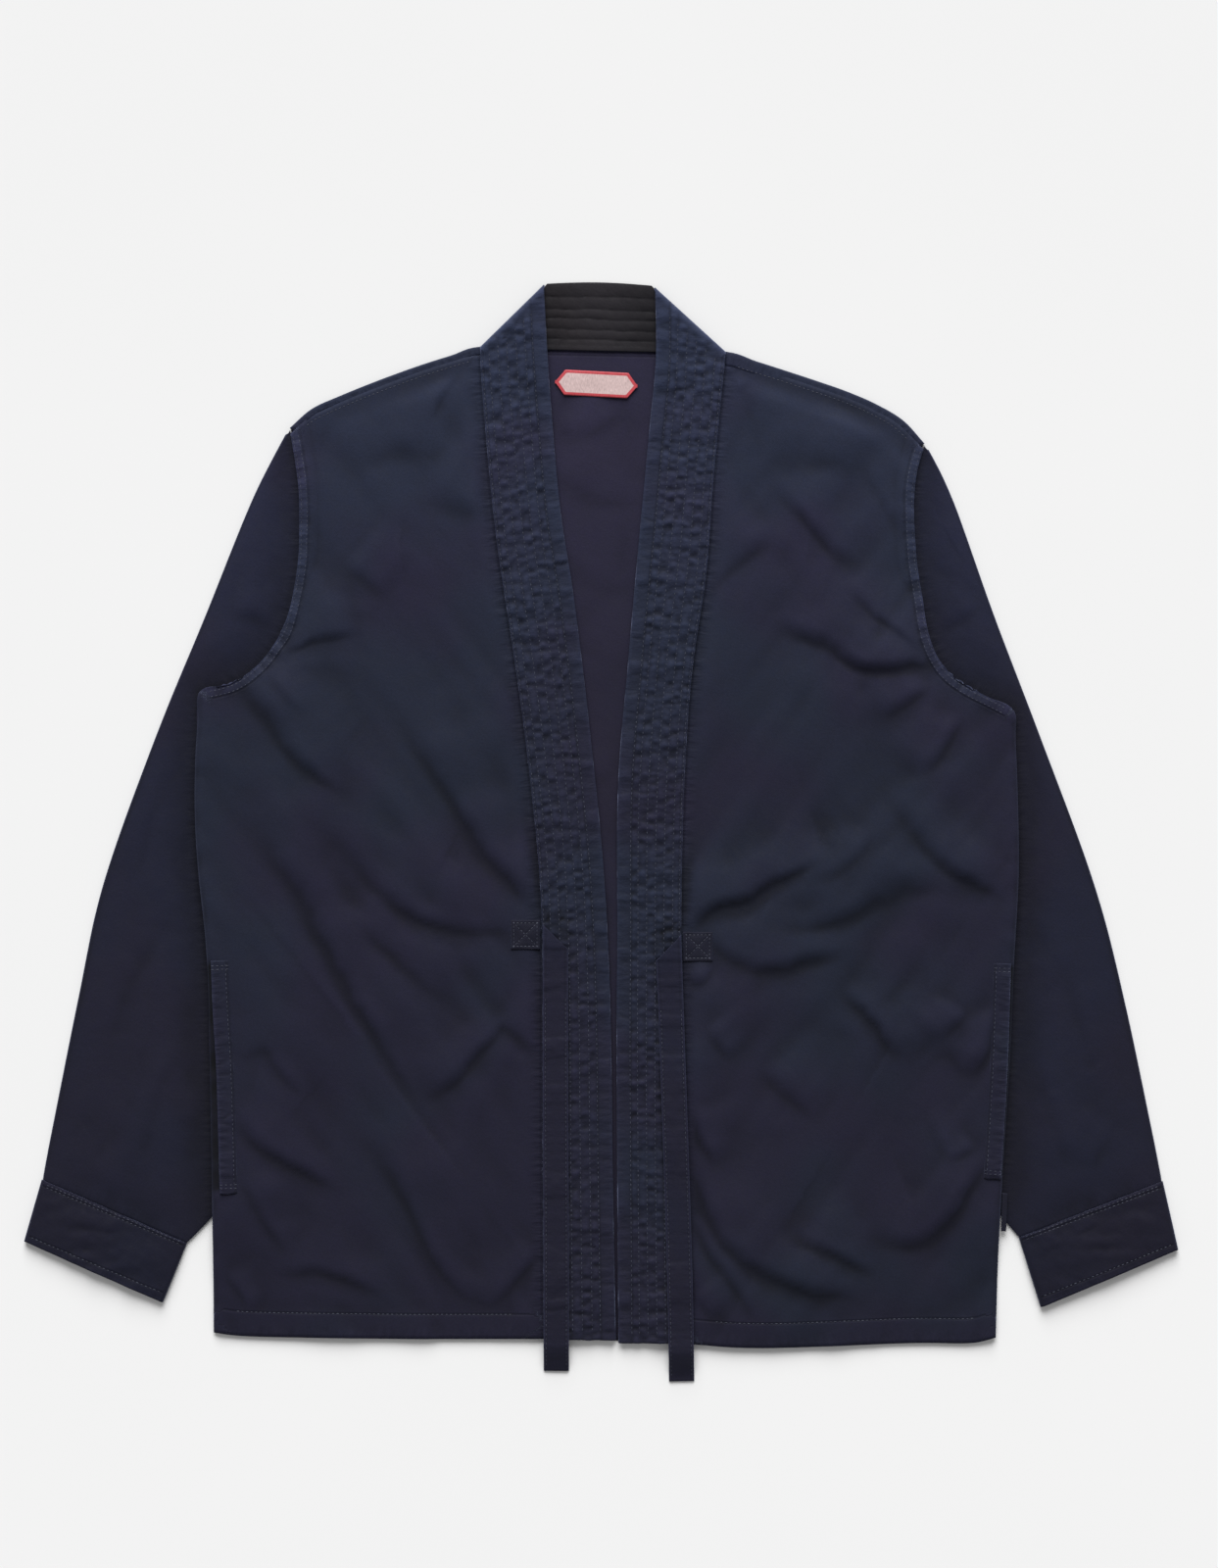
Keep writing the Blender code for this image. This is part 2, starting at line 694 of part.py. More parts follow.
def body_outline():
    """The plan of the body, once round."""
    halves = []
    for side in SIDES:
        lines = (smooth_line(side.side_seam, 20), smooth_line(side.armhole, 20), smooth_line(side.shoulder, 8))
        halves.append(chained(*lines))
    return np.vstack([halves[0], halves[1][::-1]])


def cuff(side, cloth, collection):
    """A cuff: a flattened band, butted to the sleeve's end, its mouth lifted a little in the middle."""
    corners = side.cuff
    rows, columns = 6, 7
    share = np.linspace(0.0, 1.0, rows)
    height = CUFF_SEAM_HEIGHT + (CUFF_HEIGHT - CUFF_SEAM_HEIGHT) * smoothstep(2.0 * share)
    inset = np.stack([0.5 * height, 0.0 * height], axis=1) * (1.0 if side is RIGHT else -1.0)
    outer = np.linspace(corners.seam_outer, corners.mouth_outer, rows) + inset
    inner = np.linspace(corners.seam_inner, corners.mouth_inner, rows) - inset
    across = np.linspace(0.0, 1.0, columns)[None, :, None]
    xy = (1 - across) * outer[:, None] + across * inner[:, None]
    low = CUFF_RISE * np.sin(math.pi * across[..., 0]) * share[:, None] ** 1.5
    top = with_level(xy, low + height[:, None])
    bottom = with_level(xy, low)
    mesh = tube_mesh(f"cuff_{side.name}", top, bottom, closed_from=0)
    return thicken(new_object(f"cuff_{side.name}", mesh, collection, cloth), CUFF_WALL, -1.0)


def quilt(share):
    """Rows of stitching: the height of the cloth between them, from the band's seam (0) to its edge (1)."""
    return QUILT_RAISE * np.abs(np.sin(math.pi * QUILT_ROWS * share))


def quilted_wall(name, xy, level, raised, thickness, cloth, collection):
    """A wall whose outer points are raised over a plain inside: a grid of points, closed all round."""
    mesh = bpy.data.meshes.new(name)
    shape = bmesh.new()
    rows, columns = xy.shape[:2]
    walls = []
    for height in (level, level + thickness + raised):
        walls.append([[shape.verts.new(p * MM) for p in row] for row in with_level(xy, height)])
    for wall in walls:
        for low, high in zip(wall, wall[1:]):
            for a, b, c, d in zip(low, low[1:], high[1:], high):
                shape.faces.new((a, b, c, d))
    rim = [(0, j) for j in range(columns)] + [(i, columns - 1) for i in range(1, rows)]
    rim += [(rows - 1, j) for j in range(columns - 2, -1, -1)] + [(i, 0) for i in range(rows - 2, 0, -1)]
    for (i, j), (m, n) in zip(rim, rim[1:] + rim[:1]):
        shape.faces.new((walls[0][i][j], walls[0][m][n], walls[1][m][n], walls[1][i][j]))
    bmesh.ops.recalc_face_normals(shape, faces=shape.faces)
    shape.to_mesh(mesh)
    shape.free()
    mesh.shade_smooth()
    return new_object(name, mesh, collection, cloth)


def front_band(side, cloth, collection):
    """The stitched band down one front, from the fold at the neck to the hem."""
    rows, columns = 26, 2 * QUILT_ROWS + 1
    seam = smooth_line(side.band_seam, rows)
    edge = smooth_line(side.band_edge, rows)
    share = np.linspace(0.0, 1.0, columns)
    xy = (1 - share[None, :, None]) * seam[:, None] + share[None, :, None] * edge[:, None]
    fold = xy[-1]
    before_fold = moved_aside(fold, (-1.0 if side is RIGHT else 1.0) * NOSE)
    xy = np.concatenate([xy[:-1], before_fold[None], fold[None]])
    level = band_level(xy, side)
    level[-1] = SEAM_GAP
    raised = np.broadcast_to(quilt(share), level.shape).copy()
    raised[-1] = 0.0
    return quilted_wall(f"band_{side.name}", xy, level, raised, BAND, cloth, collection)


def collar_back(cloth, collection):
    """The quilted collar behind the neck: it shows its inner face, and the bands fold over its ends."""
    columns, rows = 11, 2 * QUILT_ROWS + 1
    gap = np.array([0.0, SEAM_GAP + 0.5])
    seam = np.linspace(NECK_RIGHT, NECK_LEFT, columns) + gap
    top = np.linspace(COLLAR_TOP_RIGHT, COLLAR_TOP_LEFT, columns)
    top[:, 1] += COLLAR_CROWN * np.sin(np.linspace(0.0, math.pi, columns))
    seam[0, 0] += COLLAR_END
    seam[-1, 0] -= COLLAR_END
    top[0, 0] += COLLAR_END
    top[-1, 0] -= COLLAR_END
    share = np.linspace(0.0, 1.0, rows)
    xy = (1 - share[:, None, None]) * seam[None] + share[:, None, None] * top[None]
    raised = np.broadcast_to(quilt(share)[:, None], xy.shape[:2])
    level = np.zeros(xy.shape[:2])
    return quilted_wall("collar_back", xy, level, raised, BAND - QUILT_RAISE, cloth, collection)


def tie(side, cloth, collection):
    """A tie: a flat double tape, folded over at its root, along the band and past the hem to the surface."""
    whole = smooth_line(side.tie, 120)
    hem = side.band_seam[0].up - 4.0
    shares = np.concatenate([np.linspace(0.0, 0.94, 20), np.linspace(0.95, 1.0, 6)])
    middle = whole[np.round(shares * (len(whole) - 1)).astype(int)]
    half = 0.5 * TIE_WIDTH
    xy = np.stack([moved_aside(middle, half), middle, moved_aside(middle, -half)], axis=1)
    folded = TIE_WIDTH * np.clip(1.0 - np.arange(len(middle)) / 4.0, 0.0, 1.0)
    xy[:, 0 if side is RIGHT else 2, 1] -= folded
    xy[:, 1, 1] -= 0.5 * folded
    on_band = band_level(xy, side) + BAND + QUILT_RAISE + 2 * SEAM_GAP
    past = smoothstep((hem - xy[..., 1]) / TIE_DROP)
    level = on_band * (1 - past) + 0.6 * past
    return sheet(f"tie_{side.name}", xy, level, TAPE, cloth, collection)


def flat_patch(name, centre, width, height, turn, level, thickness, cloth, collection):
    """A small rectangle of cloth laid on a panel, as a grid moved out from the panel's points."""
    across = np.linspace(-0.5, 0.5, 4)
    x, y = np.meshgrid(across * width, across * height)
    angle = math.radians(turn)
    spun = np.dstack([x * math.cos(angle) - y * math.sin(angle), x * math.sin(angle) + y * math.cos(angle)])
    xy = spun + np.array(centre)
    return sheet(name, xy, level(xy), thickness, cloth, collection)


def tab(side, cloth, collection):
    """The small square of black twill that covers a tie's root."""

    def level(xy):
        return front_level(xy, side) + CLOTH + SEAM_GAP + 0.25

    size = (TAB_SIZE, TAB_SIZE)
    return flat_patch(f"tie_tab_{side.name}", side.tab, *size, 0.0, level, CLOTH, cloth, collection)


def pocket_facing(side, cloth, collection):
    """The turned edge of a pocket mouth, stitched down on the front beside the side seam."""
    sign = -1.0 if side is RIGHT else 1.0
    edge = smooth_line(side.pocket, 12)
    inner = moved_aside(edge, -sign * POCKET_FACING)
    share = np.linspace(0.0, 1.0, 3)[None, :, None]
    xy = (1 - share) * edge[:, None] + share * inner[:, None]
    level = front_level(xy, side) + CLOTH + SEAM_GAP + 0.3
    return sheet(f"pocket_facing_{side.name}", xy, level, 1.0, cloth, collection)


def label(cloth, collection):
    """The woven label in the back neck, left bare."""

    def level(xy):
        return back_level(xy) + CLOTH + 2 * SEAM_GAP

    return flat_patch("neck_label", LABEL_AT, *LABEL, LABEL_TURN, level, 1.0, cloth, collection)


def flag_label(cloth, collection):
    """The small loop label in the left side seam, left bare."""

    def level(xy):
        return np.full(xy.shape[:-1], LIFT + 0.1)

    return flat_patch("side_label", FLAG_AT, *FLAG_LABEL, -2.0, level, 1.0, cloth, collection)


def main():
    for old in list(bpy.data.objects):
        bpy.data.objects.remove(old, do_unlink=True)
    garment = bpy.data.collections.new("hanten_shirt")
    bpy.context.scene.collection.children.link(garment)
    navy = material("navy_twill", NAVY, 0.85)
    inside_navy = material("navy_twill_inside", NAVY_INSIDE, 0.88)
    stitched = material("stitched_navy_band", NAVY, 0.9)
    lining = material("black_quilted_lining", BLACK_LINING, 0.85)
    black = material("black_twill", BLACK_TAPE, 0.8)
    cuff_navy = material("navy_cuff", NAVY_DARK, 0.85)
    woven = material("woven_label", LABEL_RED, 0.7)

    back_panel(inside_navy, garment)
    collar_back(lining, garment)
    label(woven, garment)
    flag_label(black, garment)
    for side in SIDES:
        front_panel(side, navy, garment)
        sleeve(side, navy, garment)
        cuff(side, cuff_navy, garment)
        front_band(side, stitched, garment)
        tie(side, navy, garment)
        tab(side, black, garment)
        pocket_facing(side, navy, garment)


main()
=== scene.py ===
"""The looks of a hanten shirt of dark navy cotton, laid flat on its back with the fronts up.

Tables are in millimetres in the solids' frame: X to the wearer's left, Y up to the collar, Z up from the table.
"""

import math
from collections import namedtuple

import bmesh
import bpy
import numpy as np
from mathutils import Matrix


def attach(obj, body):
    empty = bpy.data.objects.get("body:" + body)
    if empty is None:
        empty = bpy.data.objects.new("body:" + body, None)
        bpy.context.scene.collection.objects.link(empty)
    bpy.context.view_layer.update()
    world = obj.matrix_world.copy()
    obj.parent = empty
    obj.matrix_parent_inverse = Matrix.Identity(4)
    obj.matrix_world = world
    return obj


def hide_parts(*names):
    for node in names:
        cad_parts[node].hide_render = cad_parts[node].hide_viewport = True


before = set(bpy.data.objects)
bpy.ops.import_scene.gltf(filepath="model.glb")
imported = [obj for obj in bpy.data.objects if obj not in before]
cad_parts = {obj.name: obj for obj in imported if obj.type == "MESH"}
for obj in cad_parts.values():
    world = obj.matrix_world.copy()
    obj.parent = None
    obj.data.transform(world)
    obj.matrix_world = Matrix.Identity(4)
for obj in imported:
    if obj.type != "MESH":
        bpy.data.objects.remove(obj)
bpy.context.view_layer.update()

# ---------------------------------------------------------------------------------------------------
# The back
# One piece of navy cotton twill, softly napped. It lies on the table and on the sleeves' underarms, and
# its cloth comes over both shoulders to seams on the front. Its inner face shows in the opening.
# ---------------------------------------------------------------------------------------------------
MM = 0.001
WALL = 1.2
SHELL = 0.9
LAYER_GAP = 0.8
UNSTITCHED = 999.0
FAR_OFF = 60.0
SIDES = ("right", "left")
OUTWARD = {"right": -1.0, "left": 1.0}

SIDE_SEAM = {
    "right": [
        (-276.5, -357.5), (-277.0, -281.0), (-279.0, -170.0), (-281.0, -89.0),
        (-287.0, -29.0), (-289.5, 13.0), (-289.0, 55.0), (-286.0, 100.0),
    ],
    "left": [
        (281.5, -361.0), (284.5, -275.0), (291.5, -163.0), (294.5, -89.0),
        (297.5, -28.0), (296.5, 41.0), (294.0, 86.5),
    ],
}
ARMHOLE = {
    "right": [
        (-286.0, 100.0), (-262.5, 106.0), (-245.5, 118.0), (-233.5, 133.0), (-225.0, 148.0),
        (-217.0, 185.0), (-215.5, 210.0), (-216.0, 247.0), (-222.5, 288.0),
    ],
    "left": [
        (294.0, 86.5), (279.5, 94.0), (260.0, 104.0), (244.5, 117.0), (234.0, 138.5),
        (228.5, 171.0), (224.5, 200.0), (223.5, 245.0), (231.0, 277.0),
    ],
}
SHOULDER = {
    "right": [
        (-222.5, 288.0), (-212.5, 298.0), (-198.5, 305.5), (-170.5, 317.5), (-128.5, 333.0), (-86.5, 346.0),
    ],
    "left": [
        (231.0, 277.0), (221.5, 288.0), (207.5, 299.0), (179.5, 312.5), (137.5, 327.0), (89.0, 342.5),
    ],
}
HEM = {
    "right": [(-276.5, -357.5), (-255.0, -360.0), (-212.0, -361.0), (-128.0, -362.0), (-41.0, -362.0)],
    "left": [
        (281.5, -361.0), (263.0, -365.0), (221.5, -365.0), (137.5, -368.0), (95.5, -368.0), (58.5, -365.0),
    ],
}
UNDERARM = {
    "right": [
        (-225.0, 148.0), (-233.0, 110.0), (-236.0, 50.0), (-236.0, -20.0), (-238.0, -100.0),
        (-243.0, -180.0), (-256.0, -240.0), (-277.0, -274.0), (-296.0, -292.6),
    ],
    "left": [
        (234.0, 138.5), (240.0, 100.0), (243.0, 45.0), (243.0, -20.0), (245.0, -100.0),
        (250.0, -185.0), (264.0, -240.0), (285.0, -274.0), (298.6, -288.7),
    ],
}
OVER_SHOULDER = {"right": (2.6, 4.2), "left": (2.6, 8.5)}
SLEEVE_RISE = 3.6


def smoothstep(share):
    share = np.clip(share, 0.0, 1.0)
    return share * share * (3.0 - 2.0 * share)


def smooth_line(points, count):
    """A smooth curve through the points, as count points at equal distances along it."""
    knots = np.array(points, float)
    before, after = 2 * knots[0] - knots[1], 2 * knots[-1] - knots[-2]
    p = np.vstack([before, knots, after])
    t = np.linspace(0.0, 1.0, 16, endpoint=False)[:, None]
    fine = []
    for a, b, c, d in zip(p, p[1:], p[2:], p[3:]):
        square = 2 * a - 5 * b + 4 * c - d
        cube = 3 * b - a - 3 * c + d
        fine.append(0.5 * (2 * b + (c - a) * t + square * t**2 + cube * t**3))
    fine = np.vstack(fine + [knots[-1:]])
    along = np.concatenate([[0.0], np.cumsum(np.linalg.norm(np.diff(fine, axis=0), axis=1))])
    at = np.linspace(0.0, along[-1], count)
    return np.stack([np.interp(at, along, fine[:, k]) for k in range(fine.shape[1])], axis=1)


def chained(*lines):
    return np.vstack([lines[0]] + [line[1:] for line in lines[1:]])


def moved_aside(line, distance):
    """The line moved to its left, by a distance that may differ from point to point."""
    along = np.gradient(line, axis=0)
    along /= np.linalg.norm(along, axis=1)[:, None]
    aside = np.stack([-along[:, 1], along[:, 0]], axis=1)
    return line + aside * np.broadcast_to(distance, len(line))[:, None]


def patch(left, right, bottom, top):
    """A grid of points between four edges: left and right run up, bottom and top run to the right."""
    v = np.linspace(0.0, 1.0, len(left))[:, None, None]
    u = np.linspace(0.0, 1.0, len(bottom))[None, :, None]
    across = (1 - u) * left[:, None] + u * right[:, None]
    upward = (1 - v) * bottom[None] + v * top[None]
    low_corners = (1 - u) * bottom[0] + u * bottom[-1]
    high_corners = (1 - u) * top[0] + u * top[-1]
    xy = across + upward - (1 - v) * low_corners - v * high_corners
    for _ in range(4):
        around = xy[:-2, 1:-1] + xy[2:, 1:-1] + xy[1:-1, :-2] + xy[1:-1, 2:]
        xy[1:-1, 1:-1] = 0.5 * xy[1:-1, 1:-1] + 0.125 * around
    return xy


def refined(grid, row_times, column_times):
    """The grid with more points between its own, on smooth curves through them."""
    for axis, times in ((0, row_times), (1, column_times)):
        grid = np.moveaxis(grid, axis, 0)
        p = np.concatenate([2 * grid[:1] - grid[1:2], grid, 2 * grid[-1:] - grid[-2:-1]])
        t = (np.arange(times) / times).reshape(1, -1, *[1] * (grid.ndim - 1))
        a, b, c, d = (p[i:len(p) - 3 + i, None] for i in range(4))
        square = 2 * a - 5 * b + 4 * c - d
        cube = 3 * b - a - 3 * c + d
        fine = 0.5 * (2 * b + (c - a) * t + square * t**2 + cube * t**3)
        grid = np.concatenate([fine.reshape(-1, *grid.shape[1:]), grid[-1:]])
        grid = np.moveaxis(grid, 0, axis)
    return grid


def along_line(xy, line):
    """How far each point lies from a line of many points, and how far along the line that is."""
    away = np.full(xy.shape[:-1], np.inf)
    along = np.zeros(xy.shape[:-1])
    passed = 0.0
    for a, b in zip(line, line[1:]):
        side = b - a
        length = max(np.linalg.norm(side), 1e-9)
        share = np.clip(((xy - a) @ side) / length**2, 0.0, 1.0)
        here = np.linalg.norm(xy - a - share[..., None] * side, axis=-1)
        nearer = here < away
        away = np.where(nearer, here, away)
        along = np.where(nearer, passed + share * length, along)
        passed += length
    return away, along


def inside(xy, outline):
    crossings = np.zeros(xy.shape[:-1], int)
    x, y = xy[..., 0], xy[..., 1]
    for a, b in zip(outline, np.roll(outline, -1, axis=0)):
        spans = (a[1] > y) != (b[1] > y)
        rise = b[1] - a[1] if b[1] != a[1] else 1e-9
        crossings += spans & (x < a[0] + (y - a[1]) * (b[0] - a[0]) / rise)
    return crossings % 2 == 1


def unevenness(xy, swell, seed):
    """A rise and fall between about -1 and 1, the same each run, with swells of about this size."""
    knots = np.random.default_rng(seed).uniform(-1.0, 1.0, (97, 97))
    turn = 0.6 + seed
    spun = xy @ np.array([[math.cos(turn), -math.sin(turn)], [math.sin(turn), math.cos(turn)]]) / swell + 500.0
    cell = np.floor(spun).astype(int)
    share = smoothstep(spun - cell)
    i, j = cell[..., 0] % 96, cell[..., 1] % 96
    low = knots[i, j] * (1 - share[..., 0]) + knots[i + 1, j] * share[..., 0]
    high = knots[i, j + 1] * (1 - share[..., 0]) + knots[i + 1, j + 1] * share[..., 0]
    return low * (1 - share[..., 1]) + high * share[..., 1]


Crease = namedtuple("Crease", "height reach points blurred", defaults=(0.0,))


def creased(xy, creases, seed):
    """The relief of creases: each is a soft ridge on the collar's side of its line, steep towards the hem,
    with a shallow trough along the line and a low swell beyond it. It widens and blurs towards its start
    (blurred 0), its end (1) or both (0.5)."""
    relief = np.zeros(xy.shape[:-1])
    wander = 1.6 * unevenness(xy, 21.0, seed) + 0.7 * unevenness(xy, 8.0, seed + 1)
    strength = 1.0 + 0.4 * unevenness(xy, 26.0, seed + 2)
    spread = 1.0 + 0.22 * unevenness(xy, 40.0, seed + 3)
    for height, reach, points, blurred in creases:
        knots = np.array(points, float)
        lead = 0.16 * np.linalg.norm(knots[-1] - knots[0])
        first, last = knots[0] - knots[1], knots[-1] - knots[-2]
        knots[0] += lead * first / np.linalg.norm(first)
        knots[-1] += lead * last / np.linalg.norm(last)
        line = smooth_line(knots, 22)
        low, high = line.min(axis=0) - 5.5 * reach, line.max(axis=0) + 5.5 * reach
        near = np.all((xy > low) & (xy < high), axis=-1)
        if not near.any():
            continue
        here = xy[near]
        run = line[-1] - line[0]
        facing = 1.0 if run[0] >= 0 else -1.0
        away = np.full(len(here), np.inf)
        side = np.zeros(len(here))
        share = np.zeros(len(here))
        for step, (a, b) in enumerate(zip(line, line[1:])):
            piece = b - a
            t = np.clip(((here - a) @ piece) / (piece @ piece), 0.0, 1.0)
            gap = here - a - t[:, None] * piece
            distance = np.linalg.norm(gap, axis=1)
            nearer = distance < away
            away = np.where(nearer, distance, away)
            side = np.where(nearer, facing * (piece[0] * gap[:, 1] - piece[1] * gap[:, 0]), side)
            share = np.where(nearer, (step + t) / (len(line) - 1), share)
        s = np.sign(side) * away + wander[near]
        wide = reach * spread[near] * (0.7 + 1.0 * np.abs(share - 1.0 + blurred))
        up = s - 0.5 * wide
        ridge = 0.9 * np.exp(-((up / np.where(up > 0, 1.7 * wide, 0.6 * wide)) ** 2))
        trough = 0.26 * np.exp(-(((s + 0.16 * wide) / (0.26 * wide)) ** 2))
        beyond = 0.22 * np.exp(-(((s + 1.5 * wide) / (0.8 * wide)) ** 2))
        taper = smoothstep(share / 0.34) * smoothstep((1 - share) / 0.34)
        relief[near] += height * strength[near] * taper * (ridge - trough + beyond)
    return 7.5 * np.tanh(relief / 7.5)


def hidden_sleeve(side):
    """The outline of the part of a sleeve that lies under the body."""
    inner = smooth_line(UNDERARM[side], 16)[:-1]
    outer_x = inner[0][0] + 90.0 * OUTWARD[side]
    return np.vstack([inner, [[outer_x, inner[-1][1]], [outer_x, inner[0][1]]]])


def sleeve_rise(xy):
    """How far the body's sides are carried up by the sleeves that lie beneath them."""
    lift = np.zeros(xy.shape[:-1])
    for side in SIDES:
        outline = hidden_sleeve(side)
        away = np.where(inside(xy, outline), 0.0, along_line(xy, np.vstack([outline, outline[:1]]))[0])
        lift = np.maximum(lift, SLEEVE_RISE * (1 - smoothstep((away - 5.0) / 52.0)))
    return lift


BACK_CREASES = [
    Crease(1.3, 11, [(-31, 297), (-14, 285), (12, 300)]),
    Crease(0.9, 8, [(-8, 39), (8, 42)]),
    Crease(0.8, 14, [(-40, 262), (-5, 240), (26, 236)]),
    Crease(0.8, 12, [(-34, 205), (2, 176), (24, 178)]),
    Crease(0.7, 10, [(-18, 140), (8, 118)]),
    Crease(0.8, 12, [(-2, -20), (9, -60), (8, -110)]),
]


def back_top(xy):
    """The back's inner face."""
    soft = 0.35 * unevenness(xy, 46.0, 11) + 0.2 * unevenness(xy, 17.0, 12) - 0.25
    return sleeve_rise(xy) + WALL + np.minimum(creased(xy, BACK_CREASES, 13) + soft, 1.5) * 0.8


def with_level(xy, level):
    return np.concatenate([xy, np.asarray(level)[..., None]], axis=-1)


def new_piece(name, mesh, cloth):
    mesh.materials.append(cloth)
    mesh.shade_smooth()
    made = bpy.data.objects.new(name, mesh)
    bpy.context.scene.collection.objects.link(made)
    return made


def quads_of(rows, columns):
    index = np.arange(rows * columns).reshape(rows, columns)
    return np.stack([index[:-1, :-1], index[:-1, 1:], index[1:, 1:], index[1:, :-1]], axis=-1).reshape(-1, 4)


def marked(mesh, seam, wear_and_shade):
    kinds = (("seam", "FLOAT_VECTOR", "vector", seam), ("wear_and_shade", "FLOAT", "value", wear_and_shade))
    for name, kind, field, values in kinds:
        if values is not None:
            kept = mesh.attributes.new(name, kind, "POINT")
            kept.data.foreach_set(field, values.reshape(-1).astype(np.float32))


def mesh_of(name, points, quads, seam=None, wear_and_shade=None):
    """A mesh from points in millimetres. seam holds (distance along the nearest seam, distance from it,
    distance of its stitching), and wear_and_shade the cloth's wear and its painted light and shade, between 1
    and -1."""
    corners = points[quads]
    turned = np.cross(corners[:, 2] - corners[:, 0], corners[:, 3] - corners[:, 1])[:, 2]
    if turned.sum() < 0:
        quads = quads[:, ::-1]
    mesh = bpy.data.meshes.new(name)
    mesh.from_pydata(points * MM, [], quads.tolist())
    marked(mesh, seam, wear_and_shade)
    return mesh


def wear_and_crease_shade(level, step, bright=0.35):
    """How far each point of a grid stands above the cloth around it: ridges are lightened, as wear fades them
    first, and hollows are darkened as painted crease shade.
    """
    around = level.copy()
    for _ in range(step):
        padded = np.pad(around, 1, mode="edge")
        around = 0.25 * (padded[:-2, 1:-1] + padded[2:, 1:-1] + padded[1:-1, :-2] + padded[1:-1, 2:])
    proud = np.clip((level - around) / 0.7, -1.0, 1.0)
    return np.where(proud > 0, bright, 1.0) * proud


def thickened(piece, thickness=SHELL, offset=-1.0):
    wall = piece.modifiers.new("Wall", "SOLIDIFY")
    wall.thickness = thickness * MM
    wall.offset = offset
    return piece


def cloth_sheet(name, xy, top, cloth, thickness=SHELL, seam=None, wear_and_shade_step=14, bright=0.35, shade=0.0):
    """A panel whose upper face stands at a level, with its wall below. shade is added to its wear and painted
    crease shade; it holds painted shade and highlights, and lighter strips.
    """
    points = with_level(xy, top).reshape(-1, 3)
    mesh = mesh_of(name, points, quads_of(*xy.shape[:2]), seam, wear_and_crease_shade(top, wear_and_shade_step, bright) + shade)
    return thickened(new_piece(name, mesh, cloth), thickness)


class Wire:
    """A socket of a material's nodes. Python's operators on it add Math nodes."""

    def __init__(self, tree, socket=None):
        self.tree = tree
        self.socket = socket

    def node(self, kind, settings, values, out=0):
        """Any node: its settings first, then the values or wires of its sockets."""
        made = self.tree.nodes.new(kind)
        for name, value in settings.items():
            setattr(made, name, value)
        for name, value in values.items():
            if isinstance(value, Wire):
                self.tree.links.new(value.socket, made.inputs[name])
            else:
                made.inputs[name].default_value = value
        return Wire(self.tree, made.outputs[out])

    def maths(self, operation, *values):
        return self.node("ShaderNodeMath", {"operation": operation}, dict(enumerate(values)))

    def __add__(self, other):
        return self.maths("ADD", self, other)

    def __mul__(self, other):
        return self.maths("MULTIPLY", self, other)

    def __sub__(self, other):
        return self.maths("SUBTRACT", self, other)

    def __rsub__(self, other):
        return self.maths("SUBTRACT", other, self)

    def __abs__(self):
        return self.maths("ABSOLUTE", self)

    __radd__ = __add__
    __rmul__ = __mul__

    def eased(self, start, end, low=0.0, high=1.0):
        """Smoothly from low, where the value is start, to high, where it is end."""
        values = {"Value": self, "From Min": start, "From Max": end, "To Min": low, "To Max": high}
        return self.node("ShaderNodeMapRange", {"interpolation_type": "SMOOTHSTEP"}, values)

    def noise(self, scale, detail=2.0, roughness=0.5):
        values = {"Vector": self, "Scale": scale, "Detail": detail, "Roughness": roughness}
        return self.node("ShaderNodeTexNoise", {}, values)

    def stretched(self, scale, turn=0.0):
        values = {"Vector": self, "Rotation": (0.0, 0.0, turn), "Scale": scale}
        return self.node("ShaderNodeMapping", {"vector_type": "TEXTURE"}, values)

    def mixed(self, first, second):
        """A colour between two, by this value."""
        return self.node("ShaderNodeMix", {"data_type": "RGBA"}, {0: self, 6: first, 7: second}, out=2)

    def scaled(self, share):
        """A colour made darker or lighter by a value."""
        return self.node("ShaderNodeVectorMath", {"operation": "SCALE"}, {0: self, "Scale": share})


